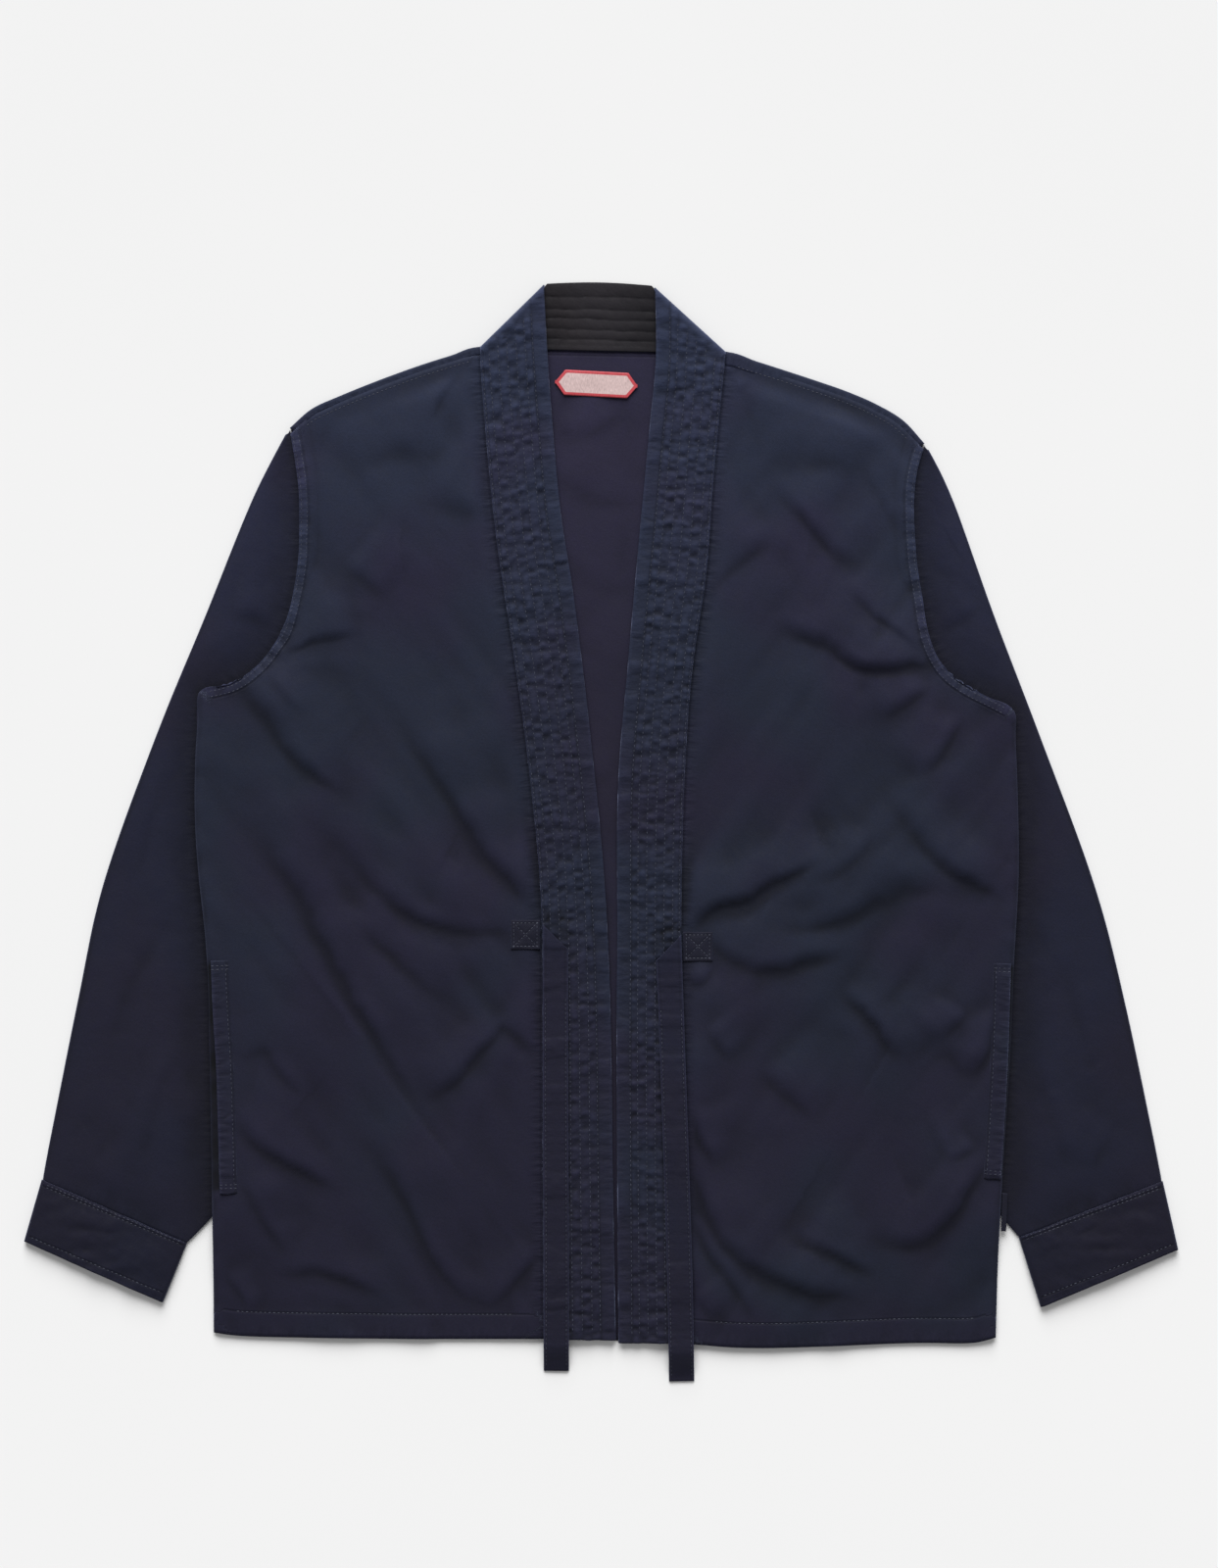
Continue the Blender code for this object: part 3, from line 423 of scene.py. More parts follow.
def cotton(name, blue, plum, crinkle=0.07, nap=0.05, weave=0.012, turn=0.0, pucker=0.5, sheen=0.25):
    """Navy cotton twill: two close shades in soft clouds, leaning to the blue shade towards the collar, a
    diagonal weave, a short nap, fine crinkles all over, puckers and a sunk line of stitching along the seams.
    Its colour is lightened on worn ridges and lighter close by the seams, and carries painted light and shade:
    the wear_and_shade attribute, painted shade in the stitching's groove and on the puckers, and painted light
    growing towards the collar."""
    made = bpy.data.materials.new(name)
    made.use_nodes = True
    tree = made.node_tree
    shader = tree.nodes["Principled BSDF"]
    wire = Wire(tree)
    place = wire.node("ShaderNodeTexCoord", {}, {}, out="Object")
    seam = wire.node("ShaderNodeAttribute", {"attribute_name": "seam"}, {}, out="Vector")
    wear_and_shade = wire.node("ShaderNodeAttribute", {"attribute_name": "wear_and_shade"}, {}, out="Fac")
    along = wire.node("ShaderNodeSeparateXYZ", {}, {0: seam}, out="X")
    away = wire.node("ShaderNodeSeparateXYZ", {}, {0: seam}, out="Y")
    stitched = wire.node("ShaderNodeSeparateXYZ", {}, {0: seam}, out="Z")
    has_seam = stitched.maths("GREATER_THAN", stitched, 0.01)

    clouds = place.noise(8.0, 2.0)
    mottle = place.noise(150.0, 4.0, 0.62)
    fleck = place.noise(820.0, 2.0, 0.6)
    fine = place.stretched((1.0, 2.6, 1.0), turn + 0.5).noise(240.0, 3.0, 0.55)
    cross = place.stretched((2.4, 1.0, 1.0), turn - 0.4).noise(130.0, 2.0, 0.5)
    spun = place.stretched((1.0, 1.0, 1.0), turn + 0.9)
    ribs = wire.node("ShaderNodeSeparateXYZ", {}, {0: spun}, out="X")
    ribs = (ribs * 7400.0 + fleck * 2.5).maths("SINE", ribs * 7400.0 + fleck * 2.5)

    near = away.eased(12.0, 0.5) * has_seam
    beside = wire.node("ShaderNodeCombineXYZ", {}, {"X": along * 0.19, "Y": away * 0.05, "Z": 0.0})
    gathers = beside.noise(1.0, 2.0, 0.5)
    groove = abs(away - stitched).eased(1.4, 0.0) * has_seam

    height = (fine - 0.5) * crinkle * 2.2 + (cross - 0.5) * crinkle * 2.0 + (fleck - 0.5) * nap * 2.0
    height = height + ribs * weave + (gathers - 0.5) * near * pucker * 2.0 - groove * 0.32
    bump = wire.node("ShaderNodeBump", {}, {"Strength": 1.0, "Distance": MM, "Height": height}, out="Normal")

    height_up = wire.node("ShaderNodeSeparateXYZ", {}, {0: place}, out="Y")
    shade = (clouds + height_up * 0.32).eased(0.36, 0.62).mixed((*plum, 1.0), (*blue, 1.0))
    light = mottle.eased(0.3, 0.7, 0.95, 1.05) * fleck.eased(0.25, 0.75, 0.9, 1.1)
    # Painted shade and light: the wear_and_shade attribute, the stitching's groove darkened, and the puckers by
    # the seams darker in their hollows and lighter on their rises.
    light = light * (1.0 + wear_and_shade * 0.5) * (1.0 - groove * 0.28) * (1.0 + (gathers - 0.5) * near * 0.5)
    # Lighter within a few millimetres of a seam or edge.
    lighter_by_seam = away.eased(2.6, 0.3) * has_seam
    # Painted light: the cloth grows lighter towards the collar, where the light falls stronger, and darker
    # towards the hem.
    painted_light_from_collar = height_up.eased(-0.42, 0.02, 0.80, 1.0) * height_up.eased(0.0, 0.42, 1.0, 1.7)
    light = light * (1.0 + lighter_by_seam * 0.3) * painted_light_from_collar
    tree.links.new(shade.scaled(light).socket, shader.inputs["Base Color"])
    tree.links.new(bump.socket, shader.inputs["Normal"])
    tree.links.new(mottle.eased(0.3, 0.7, 0.72, 0.84).socket, shader.inputs["Roughness"])
    shader.inputs["Specular IOR Level"].default_value = 0.16
    shader.inputs["Sheen Weight"].default_value = sheen
    shader.inputs["Sheen Roughness"].default_value = 0.45
    shader.inputs["Sheen Tint"].default_value = (0.55, 0.62, 1.0, 1.0)
    return made


inner_cotton = cotton("navy cotton inside", (0.0112, 0.0098, 0.0228), (0.0122, 0.0100, 0.0224))
outer_cotton = cotton("navy cotton outside", (0.0094, 0.0122, 0.0250), (0.0106, 0.0098, 0.0238), pucker=0.9)

columns, neck_columns = 7, 4
set_in = 0.5 * WALL + 0.2


def back_side(side):
    rows = smooth_line(SIDE_SEAM[side], 15)
    armhole = moved_aside(smooth_line(ARMHOLE[side], 8), 4.0 * OUTWARD[side])
    rows[-1] = armhole[0]
    return chained(rows, armhole)


right_top = moved_aside(smooth_line(SHOULDER["right"], columns + 1), -set_in)
left_top = moved_aside(smooth_line(SHOULDER["left"][::-1], columns + 1), -set_in)
right_top[0, 0] += 0.2
left_top[-1, 0] -= 0.2
neck_line = np.linspace(right_top[-1], left_top[0], neck_columns + 1)
back_upper = chained(right_top, neck_line, left_top)
whole_hem = chained(smooth_line(HEM["right"], 8), smooth_line(HEM["left"][::-1], 8)) + np.array([0.0, 1.5])
back_lower = smooth_line(whole_hem[::2], len(back_upper))
right_edge, left_edge = back_side("right"), back_side("left")
right_edge[0], right_edge[-1] = back_lower[0], back_upper[0]
left_edge[0], left_edge[-1] = back_lower[-1], back_upper[-1]
back_xy = refined(patch(right_edge, left_edge, back_lower, back_upper), 7, 6)
neck_away, neck_along = along_line(back_xy, neck_line)
back_marks = np.stack([neck_along, neck_away, np.full(neck_away.shape, 4.0)], axis=-1)
over = 6 * columns
radius = 0.75
rolls = []
for side, span in (("right", slice(0, over + 1)), ("left", slice(-over - 1, None))):
    fold = back_xy[-1, span].copy()
    across = np.linspace(*OVER_SHOULDER[side], len(fold))
    strip = across if side == "right" else across[::-1]
    low = back_top(fold)
    rows = [np.concatenate([moved_aside(fold, -radius), low[:, None]], axis=1)]
    for turn in (-60.0, -30.0, 0.0, 30.0, 60.0, 90.0):
        angle = math.radians(turn)
        row = moved_aside(fold, radius * (math.cos(angle) - 1.0))
        rows.append(np.concatenate([row, (low + radius * (1.0 + math.sin(angle)))[:, None]], axis=1))
    for part in (0.25, 0.5, 0.75, 1.0):
        row = moved_aside(fold, -radius - part * strip)
        rows.append(np.concatenate([row, (low + 2.0 * radius - 0.25 * part)[:, None]], axis=1))
    back_xy[-1, span] = rows[0][:, :2]
    rolls.append(np.stack(rows))
points = with_level(back_xy, back_top(back_xy)).reshape(-1, 3)
quads = quads_of(*back_xy.shape[:2])
marks = [back_marks.reshape(-1, 3)]
wear_and_shade_parts = [wear_and_crease_shade(back_top(back_xy), 6).reshape(-1)]
for roll in rolls:
    quads = np.concatenate([quads, quads_of(*roll.shape[:2]) + len(points)])
    points = np.concatenate([points, roll.reshape(-1, 3)])
    length = np.cumsum(np.linalg.norm(np.gradient(roll[0, :, :2], axis=0), axis=1))
    from_seam = np.array([9.0] * 7 + [6.0, 4.0, 2.0, 0.0])
    strip_marks = np.broadcast_arrays(length[None], from_seam[:, None], UNSTITCHED)
    marks.append(np.stack(strip_marks, axis=-1).reshape(-1, 3))
    wear_and_shade_parts.append(np.zeros(len(roll.reshape(-1, 3))))
mesh = mesh_of("back_cloth", points, quads, np.concatenate(marks), np.concatenate(wear_and_shade_parts))
shape = bmesh.new()
shape.from_mesh(mesh)
shape.faces.ensure_lookup_table()
for face in shape.faces[(back_xy.shape[0] - 1) * (back_xy.shape[1] - 1):]:
    face.material_index = 1
bmesh.ops.remove_doubles(shape, verts=shape.verts, dist=0.00002)
shape.to_mesh(mesh)
shape.free()
back = thickened(new_piece("back_cloth", mesh, inner_cotton))
mesh.materials.append(outer_cotton)
back.modifiers["Wall"].material_offset = 1
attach(back, "root")
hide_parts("back")

# ---------------------------------------------------------------------------------------------------
# The labels
# A red satin-woven label with a pale middle is stitched to the back of the neck, and a small black loop
# is caught in the left side seam. Both are left bare.
# ---------------------------------------------------------------------------------------------------
black_twill = cotton(
    "black twill tab", (0.0076, 0.0080, 0.0175), (0.0080, 0.0078, 0.0165), crinkle=0.1, weave=0.03,
)

LABEL_SIZE = (59.0, 18.0)
LABEL_AT = (-3.5, 319.5)
LABEL_TURN = math.radians(-3.0)

label_satin = bpy.data.materials.new("red woven label")
label_satin.use_nodes = True
label_shader = label_satin.node_tree.nodes["Principled BSDF"]
wire = Wire(label_satin.node_tree)
place = wire.node("ShaderNodeTexCoord", {}, {}, out="Object")
in_label = wire.node("ShaderNodeAttribute", {"attribute_name": "seam"}, {}, out="Vector")
from_edge = wire.node("ShaderNodeSeparateXYZ", {}, {0: in_label}, out="X")
picks = place.stretched((1.0, 6.0, 1.0), LABEL_TURN).noise(2600.0, 2.0)
pale = from_edge.eased(1.9, 2.4)
tone = pale.mixed((0.50, 0.045, 0.060, 1.0), (0.62, 0.46, 0.45, 1.0))
tone = tone.scaled(picks.eased(0.3, 0.7, 0.8, 1.1))
label_satin.node_tree.links.new(tone.socket, label_shader.inputs["Base Color"])
bump = wire.node("ShaderNodeBump", {}, {"Strength": 1.0, "Distance": MM, "Height": picks * 0.12}, out="Normal")
label_satin.node_tree.links.new(bump.socket, label_shader.inputs["Normal"])
label_shader.inputs["Roughness"].default_value = 0.55
label_shader.inputs["Sheen Weight"].default_value = 0.1

x, y = np.meshgrid(np.linspace(-0.5, 0.5, 61), np.linspace(-0.5, 0.5, 21))
x, y = x * LABEL_SIZE[0], y * LABEL_SIZE[1]
point = 7.0
half_x, half_y = 0.5 * LABEL_SIZE[0], 0.5 * LABEL_SIZE[1]
y = y * np.clip((half_x - np.abs(x)) / point, 0.12, 1.0)
slope_away = ((half_x - np.abs(x)) * half_y - np.abs(y) * point) / math.hypot(half_y, point)
off_edge = np.minimum(half_y - np.abs(y), slope_away)
turned_x = x * math.cos(LABEL_TURN) - y * math.sin(LABEL_TURN)
turned_y = x * math.sin(LABEL_TURN) + y * math.cos(LABEL_TURN)
xy = np.dstack([turned_x, turned_y]) + np.array(LABEL_AT)
top = back_top(xy).max() + 0.75 + 0.25 * unevenness(xy, 13.0, 350) + 0.1 * unevenness(xy, 5.0, 351)
marks = np.stack([off_edge, 0.0 * off_edge, 0.0 * off_edge], axis=-1)
label = cloth_sheet("neck_label_cloth", xy, top, label_satin, thickness=0.5, seam=marks)
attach(label, "root")
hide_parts("neck_label")

x, y = np.meshgrid(np.linspace(-1.8, 1.8, 7), np.linspace(-13.5, 13.5, 37))
turn = math.radians(-2.0)
xy = np.dstack([x * math.cos(turn) - y * math.sin(turn), x * math.sin(turn) + y * math.cos(turn)])
xy = xy + np.array([287.5, -271.5])
top = 4.7 + 0.15 * unevenness(xy, 6.0, 360)
loop = cloth_sheet("side_label_cloth", xy, top, black_twill, thickness=0.8)
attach(loop, "root")
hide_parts("side_label")

# ---------------------------------------------------------------------------------------------------
# The fronts
# Two pieces of the same twill. Each lies on the back and over its sleeve's seam. They were folded and laid
# down by hand, so soft diagonal creases run over them. The hem is turned up twice and stitched with thread
# a little paler than the cloth, and so are the armholes and shoulders.
# ---------------------------------------------------------------------------------------------------
BAND_SEAM = {
    "right": [
        (-41.0, -362.0), (-42.0, -210.0), (-42.5, -61.0), (-50.0, 32.0), (-62.0, 124.0),
        (-74.0, 203.0), (-80.5, 264.0), (-85.0, 318.0), (-86.5, 346.0),
    ],
    "left": [
        (58.5, -365.0), (57.0, -200.0), (57.0, -71.0), (59.0, 28.0), (64.5, 111.0),
        (75.0, 184.0), (80.0, 249.0), (86.5, 318.0), (89.0, 342.5),
    ],
}
SEAM_LAP = 8.0
HEM_DEPTH = 17.5
ARMHOLE_STITCHING = 7.0
ARMHOLE_ROWS = (1.6, 5.6)
SHOULDER_ROW = 8.0
FRONT_CREASES = {
    "right": [
        Crease(1.2, 6, [(-100, 330), (-112, 312), (-120, 296)]),
        Crease(1.8, 20, [(-126, 245), (-106, 233), (-84, 226)]),
        Crease(1.7, 12, [(-181, 189), (-155, 170)]),
        Crease(2.8, 10, [(-222, 131), (-200, 136), (-177, 142)], 1.0),
        Crease(4.8, 17, [(-255, 104), (-233, 78), (-207, 44), (-192, 33)]),
        Crease(1.5, 7, [(-235, 111), (-215, 85)]),
        Crease(4.6, 16, [(-137, 74), (-110, 30), (-81, -15), (-58, -41), (-44, -60)]),
        Crease(4.2, 15, [(-189, -4), (-166, -30), (-140, -56), (-118, -65), (-73, -71)]),
        Crease(5.0, 20, [(-255, 14), (-229, -19), (-207, -60), (-192, -89), (-174, -123), (-140, -178)]),
        Crease(2.0, 13, [(-181, -60), (-147, -89), (-114, -119)]),
        Crease(3.4, 11, [(-120, -188), (-96, -167), (-72, -138)]),
        Crease(2.0, 9, [(-74, -136), (-60, -146), (-44, -160)]),
        Crease(1.6, 8, [(-255, -163), (-240, -156), (-229, -171), (-215, -186)]),
        Crease(2.8, 12, [(-259, -200), (-244, -223), (-218, -238), (-192, -252)]),
        Crease(2.2, 8, [(-255, -252), (-233, -289), (-226, -297)]),
        Crease(3.4, 14, [(-166, -219), (-147, -245), (-133, -275), (-118, -308), (-100, -330)]),
        Crease(1.8, 9, [(-229, -315), (-207, -312), (-177, -320), (-155, -334)]),
        Crease(1.4, 6, [(-266, -315), (-252, -341)]),
        Crease(3.0, 10, [(-77, -341), (-63, -323), (-44, -301)]),
        Crease(2.2, 26, [(-186, 262), (-150, 274), (-120, 270)]),
    ],
    "left": [
        Crease(1.2, 6, [(91, 327), (98, 315)]),
        Crease(1.8, 9, [(150, 308), (176, 296), (202, 291)]),
        Crease(2.4, 17, [(124, 245), (147, 222), (168, 200), (180, 193)], 0.5),
        Crease(2.2, 14, [(79, 174), (98, 193), (120, 208)], 1.0),
        Crease(1.2, 10, [(187, 264), (210, 219)]),
        Crease(4.8, 14, [(131, 145), (154, 137), (176, 124), (198, 117), (231, 120)]),
        Crease(2.2, 10, [(176, 174), (198, 152), (221, 133)]),
        Crease(1.8, 9, [(202, 82), (231, 100)]),
        Crease(2.4, 10, [(231, 41), (247, 63), (256, 78)]),
        Crease(4.6, 18, [(210, 19), (231, -7), (254, -30), (280, -44)], 0.2),
        Crease(4.6, 14, [(61, -70), (79, -56), (102, -49), (131, -33), (154, -23)], 0.3),
        Crease(2.6, 11, [(150, -37), (176, -23), (191, -4)]),
        Crease(4.2, 27, [(128, -67), (168, -63), (198, -49), (221, -37), (250, -41)], 0.5),
        Crease(3.8, 15, [(79, -78), (98, -93), (120, -97), (147, -93), (176, -86)], 1.0),
        Crease(1.6, 6, [(61, -97), (68, -107), (79, -97)]),
        Crease(3.0, 15, [(176, -115), (194, -134), (213, -160)], 0.6),
        Crease(2.0, 9, [(239, -149), (258, -130)]),
        Crease(3.0, 9, [(265, -171), (276, -152), (282, -130)]),
        Crease(1.6, 8, [(76, -141), (91, -160)]),
        Crease(2.4, 13, [(117, -171), (150, -201)]),
        Crease(2.0, 8, [(65, -201), (79, -234)]),
        Crease(5.0, 15, [(65, -245), (79, -278), (98, -301), (120, -317), (147, -327), (168, -330)]),
        Crease(2.2, 8, [(65, -278), (83, -308), (110, -345)]),
        Crease(1.4, 6, [(67, -330), (79, -345)]),
        Crease(3.6, 11, [(139, -289), (165, -301), (191, -312)]),
        Crease(4.8, 14, [(198, -289), (224, -292), (247, -278), (261, -256), (274, -238)]),
        Crease(1.8, 8, [(247, -234), (265, -226)]),
        Crease(2.2, 26, [(122, 262), (150, 268), (182, 258)]),
    ],
}


def off_band(xy, side):
    """How far a point lies outside the band's seam, and below 0 where it is under the band."""
    seam = smooth_line(BAND_SEAM[side], 60)
    return (xy[..., 0] - np.interp(xy[..., 1], seam[:, 1], seam[:, 0])) * OUTWARD[side]


def front_ground(xy, side):
    """The level of a front's underside without its creases."""
    away, _ = along_line(xy, smooth_line(ARMHOLE[side], 30))
    lip = SLEEVE_RISE * (1 - smoothstep((away - 2.0) / 26.0))
    return np.maximum(sleeve_rise(xy) + WALL + LAYER_GAP, lip)


POCKET = {
    "right": [(-278.0, -92.0), (-276.5, -130.0), (-274.0, -175.0), (-271.5, -258.0)],
    "left": [(292.0, -94.0), (291.0, -131.0), (289.0, -182.0), (285.0, -248.0)],
}


def pocket_mouth(xy, side):
    """1 on the sunk strip of cloth that shows in a pocket's mouth, outside its turned edge."""
    edge = smooth_line(POCKET[side], 40)[::-1]
    off_edge = (xy[..., 0] - np.interp(xy[..., 1], edge[:, 1], edge[:, 0])) * OUTWARD[side]
    ends = smoothstep((edge[-1][1] - xy[..., 1]) / 3.0) * smoothstep((xy[..., 1] - edge[0][1]) / 3.0)
    return smoothstep((off_edge + 1.6) / 1.6) * ends


def front_top(xy, side, mouth=1.0):
    """A front's upper face: its creases, soft unevenness, gathers at the armhole and the raised hem."""
    seed = 40 if side == "right" else 70
    shoulder_away, _ = along_line(xy, smooth_line(SHOULDER[side], 24))
    arm_away, arm_along = along_line(xy, smooth_line(ARMHOLE[side], 40))
    side_away, side_along = along_line(xy, smooth_line(SIDE_SEAM[side], 40))
    hem_away, hem_along = along_line(xy, smooth_line(HEM[side], 30))
    free = smoothstep(off_band(xy, side) / 13.0) * smoothstep((shoulder_away - 9.0) / 16.0)
    edge = smoothstep((np.minimum(arm_away, side_away) + 3.0) / 14.0)
    slant = np.stack([xy[..., 0] - OUTWARD[side] * 0.7 * xy[..., 1], 0.3 * xy[..., 1]], axis=-1)
    soft = 1.2 * unevenness(xy, 85.0, seed) + 1.0 * unevenness(slant, 32.0, seed + 1)
    soft += 0.35 * unevenness(slant, 14.0, seed + 2) + 0.03 * unevenness(xy, 7.0, seed + 3) + 0.6
    relief = creased(xy, FRONT_CREASES[side], seed + 4) * edge + soft * smoothstep(arm_away / 10.0)
    gathers = unevenness(np.stack([arm_along, 0.35 * arm_away], axis=-1), 7.0, seed + 8)
    relief = relief + 0.6 * gathers * np.exp(-((arm_away / 11.0) ** 2))
    nips = unevenness(np.stack([arm_along, 0.3 * arm_away], axis=-1), 4.6, seed + 11)
    relief = relief + 0.6 * nips * (1 - smoothstep((arm_away - 6.0) / 3.0))
    pulls = unevenness(np.stack([side_along, 0.3 * side_away], axis=-1), 8.0, seed + 9)
    relief = relief + 0.35 * pulls * np.exp(-((side_away / 9.0) ** 2))
    waves = unevenness(np.stack([hem_along, 0.6 * hem_away], axis=-1), 13.0, seed + 10)
    relief = relief + 0.4 * waves * (1 - smoothstep((hem_away - HEM_DEPTH) / 12.0))
    turned_up = 0.35 * (1 - smoothstep((hem_away - HEM_DEPTH + 1.0) / 1.6))
    turned_up += 0.8 * (1 - smoothstep((arm_away - ARMHOLE_STITCHING + 1.5) / 3.0))
    sewn_down = 0.8 * (1 - smoothstep((side_away - 0.4) / 3.5)) + 0.4 * (1 - smoothstep(arm_away / 2.0))
    sewn_down = np.minimum(sewn_down + mouth * pocket_mouth(xy, side), 1.1)
    relief = free * np.maximum(relief, -0.55) + turned_up * smoothstep(free * 3.0) - sewn_down
    return front_ground(xy, side) + WALL + relief


def front_marks(xy, side):
    """Of the seam that is nearest to each point: distance along it, from it, and of its stitching."""
    best = np.full(xy.shape[:-1], FAR_OFF)
    marks = np.zeros((*xy.shape[:-1], 3))
    marks[..., 1], marks[..., 2] = FAR_OFF, UNSTITCHED
    kinds = (
        (ARMHOLE[side], ARMHOLE_STITCHING, 0.0),
        (SIDE_SEAM[side], 0.0, 0.0),
        (SHOULDER[side], UNSTITCHED, 0.0),
        (HEM[side], HEM_DEPTH, 12.0),
        (BAND_SEAM[side], 1.0, 0.0),
    )
    for line, stitching, handicap in kinds:
        away, along = along_line(xy, smooth_line(line, 50))
        score = np.abs(away - handicap)
        nearer = score < best
        best = np.where(nearer, score, best)
        for k, value in enumerate((along, away, np.full(away.shape, stitching))):
            marks[..., k] = np.where(nearer, value, marks[..., k])
    return marks


navy_thread = bpy.data.materials.new("navy thread")
navy_thread.use_nodes = True
thread_shader = navy_thread.node_tree.nodes["Principled BSDF"]
wire = Wire(navy_thread.node_tree)
twist = wire.node("ShaderNodeTexCoord", {}, {}, out="Object").noise(900.0, 2.0)
tone = twist.eased(0.3, 0.7).mixed((0.020, 0.023, 0.042, 1.0), (0.046, 0.052, 0.082, 1.0))
navy_thread.node_tree.links.new(tone.socket, thread_shader.inputs["Base Color"])
thread_shader.inputs["Roughness"].default_value = 0.6


def stitch_tree():
    """Geometry Nodes that lay a stitch at each step along the edges of a mesh."""
    tree = bpy.data.node_groups.new("stitches along a seam", "GeometryNodeTree")
    asked = {}
    for name, kind in (
        ("Geometry", "NodeSocketGeometry"), ("Pitch", "NodeSocketFloat"), ("Size", "NodeSocketVector"),
        ("Seed", "NodeSocketInt"), ("Thread", "NodeSocketMaterial"),
    ):
        asked[name] = tree.interface.new_socket(name=name, in_out="INPUT", socket_type=kind).identifier
    tree.interface.new_socket(name="Geometry", in_out="OUTPUT", socket_type="NodeSocketGeometry")
    given = tree.nodes.new("NodeGroupInput")

    def node(kind, settings, values):
        made = tree.nodes.new(kind)
        for name, value in settings.items():
            setattr(made, name, value)
        for name, value in values.items():
            if isinstance(value, bpy.types.NodeSocket):
                tree.links.new(value, made.inputs[name])
            else:
                made.inputs[name].default_value = value
        return made

    curve = node("GeometryNodeMeshToCurve", {}, {"Mesh": given.outputs["Geometry"]})
    steps = {"Curve": curve.outputs[0], "Length": given.outputs["Pitch"]}
    curve = node("GeometryNodeResampleCurve", {"mode": "LENGTH"}, steps)
    along = node("GeometryNodeInputTangent", {}, {})
    turned = node("FunctionNodeAlignRotationToVector", {"axis": "X"}, {"Vector": along.outputs[0]})
    drawn = {"Min": (0.8, 0.8, 0.8), "Max": (1.15, 1.2, 1.2), "Seed": given.outputs["Seed"]}
    uneven = node("FunctionNodeRandomValue", {"data_type": "FLOAT_VECTOR"}, drawn)
    sizes = {0: uneven.outputs["Value"], 1: given.outputs["Size"]}
    size = node("ShaderNodeVectorMath", {"operation": "MULTIPLY"}, sizes)
    bead = node("GeometryNodeMeshIcoSphere", {}, {"Radius": 0.5, "Subdivisions": 1})
    laid = node("GeometryNodeInstanceOnPoints", {}, {
        "Points": curve.outputs[0], "Instance": bead.outputs[0],
        "Rotation": turned.outputs[0], "Scale": size.outputs[0],
    })
    real = node("GeometryNodeRealizeInstances", {}, {"Geometry": laid.outputs[0]})
    threaded = {"Geometry": real.outputs[0], "Material": given.outputs["Thread"]}
    finished = node("GeometryNodeSetMaterial", {}, threaded)
    tree.links.new(finished.outputs[0], tree.nodes.new("NodeGroupOutput").inputs[0])
    return tree, asked


stitches_along, stitch_inputs = stitch_tree()


def lying_on(line, surface, lift):
    """A line's points carried up to a surface, which is a grid of points."""
    flat = surface.reshape(-1, 3)
    levels = []
    for part in np.array_split(line, 1 + len(line) // 80):
        away = np.linalg.norm(part[:, None] - flat[None, :, :2], axis=2)
        near = np.argpartition(away, 4, axis=1)[:, :4]
        weight = 1.0 / (np.take_along_axis(away, near, axis=1) + 0.05)
        levels.append((flat[near, 2] * weight).sum(axis=1) / weight.sum(axis=1))
    return with_level(line, np.concatenate(levels) + lift)


def sewn(name, rows, surface, thread, pitch=3.2, size=(2.1, 0.55, 0.4), lift=0.08):
    """Rows of stitches in the cloth, as one mesh. Each row is a line of points."""
    points, edges = [], []
    for row in rows:
        length = np.linalg.norm(np.diff(row, axis=0), axis=1).sum()
        path = lying_on(smooth_line(row, max(3, int(length / 2.4))), surface, lift)
        first = sum(len(part) for part in points)
        edges += [(first + step, first + step + 1) for step in range(len(path) - 1)]
        points.append(path)
    mesh = bpy.data.meshes.new(name)
    mesh.from_pydata(np.vstack(points) * MM, edges, [])
    piece = bpy.data.objects.new(name, mesh)
    bpy.context.scene.collection.objects.link(piece)
    layer = piece.modifiers.new("Stitches", "NODES")
    layer.node_group = stitches_along
    layer[stitch_inputs["Pitch"]] = pitch * MM
    layer[stitch_inputs["Size"]] = [side * MM for side in size]
    layer[stitch_inputs["Seed"]] = 7
    layer[stitch_inputs["Thread"]] = thread
    evaluated = piece.evaluated_get(bpy.context.evaluated_depsgraph_get())
    made = bpy.data.meshes.new_from_object(evaluated)
    piece.modifiers.remove(layer)
    piece.data = made
    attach(piece, "root")
    return piece


def front_grid(side):
    sign = OUTWARD[side]
    side_seam = smooth_line(SIDE_SEAM[side], 22)
    armhole = smooth_line(ARMHOLE[side], 11)
    side_seam[-1] = armhole[0]
    outer = chained(side_seam, armhole)
    shoulder = moved_aside(smooth_line(SHOULDER[side], 17), sign * 4.4)
    seam = moved_aside(smooth_line(BAND_SEAM[side], len(outer)), sign * SEAM_LAP)
    hem = smooth_line(HEM[side], 17)
    near_tip = smooth_line(ARMHOLE[side][::-1], 200)
    shoulder[0] = near_tip[np.linalg.norm(near_tip - near_tip[0], axis=1) > 3.5][0]
    outer[-1], seam[0][1] = shoulder[0], hem[-1][1]
    seam[-1] = shoulder[-1] + np.array([-sign * 2.0, -1.0])
    hem[-1], shoulder[-1] = seam[0], seam[-1]
    return patch(outer, seam, hem, shoulder)


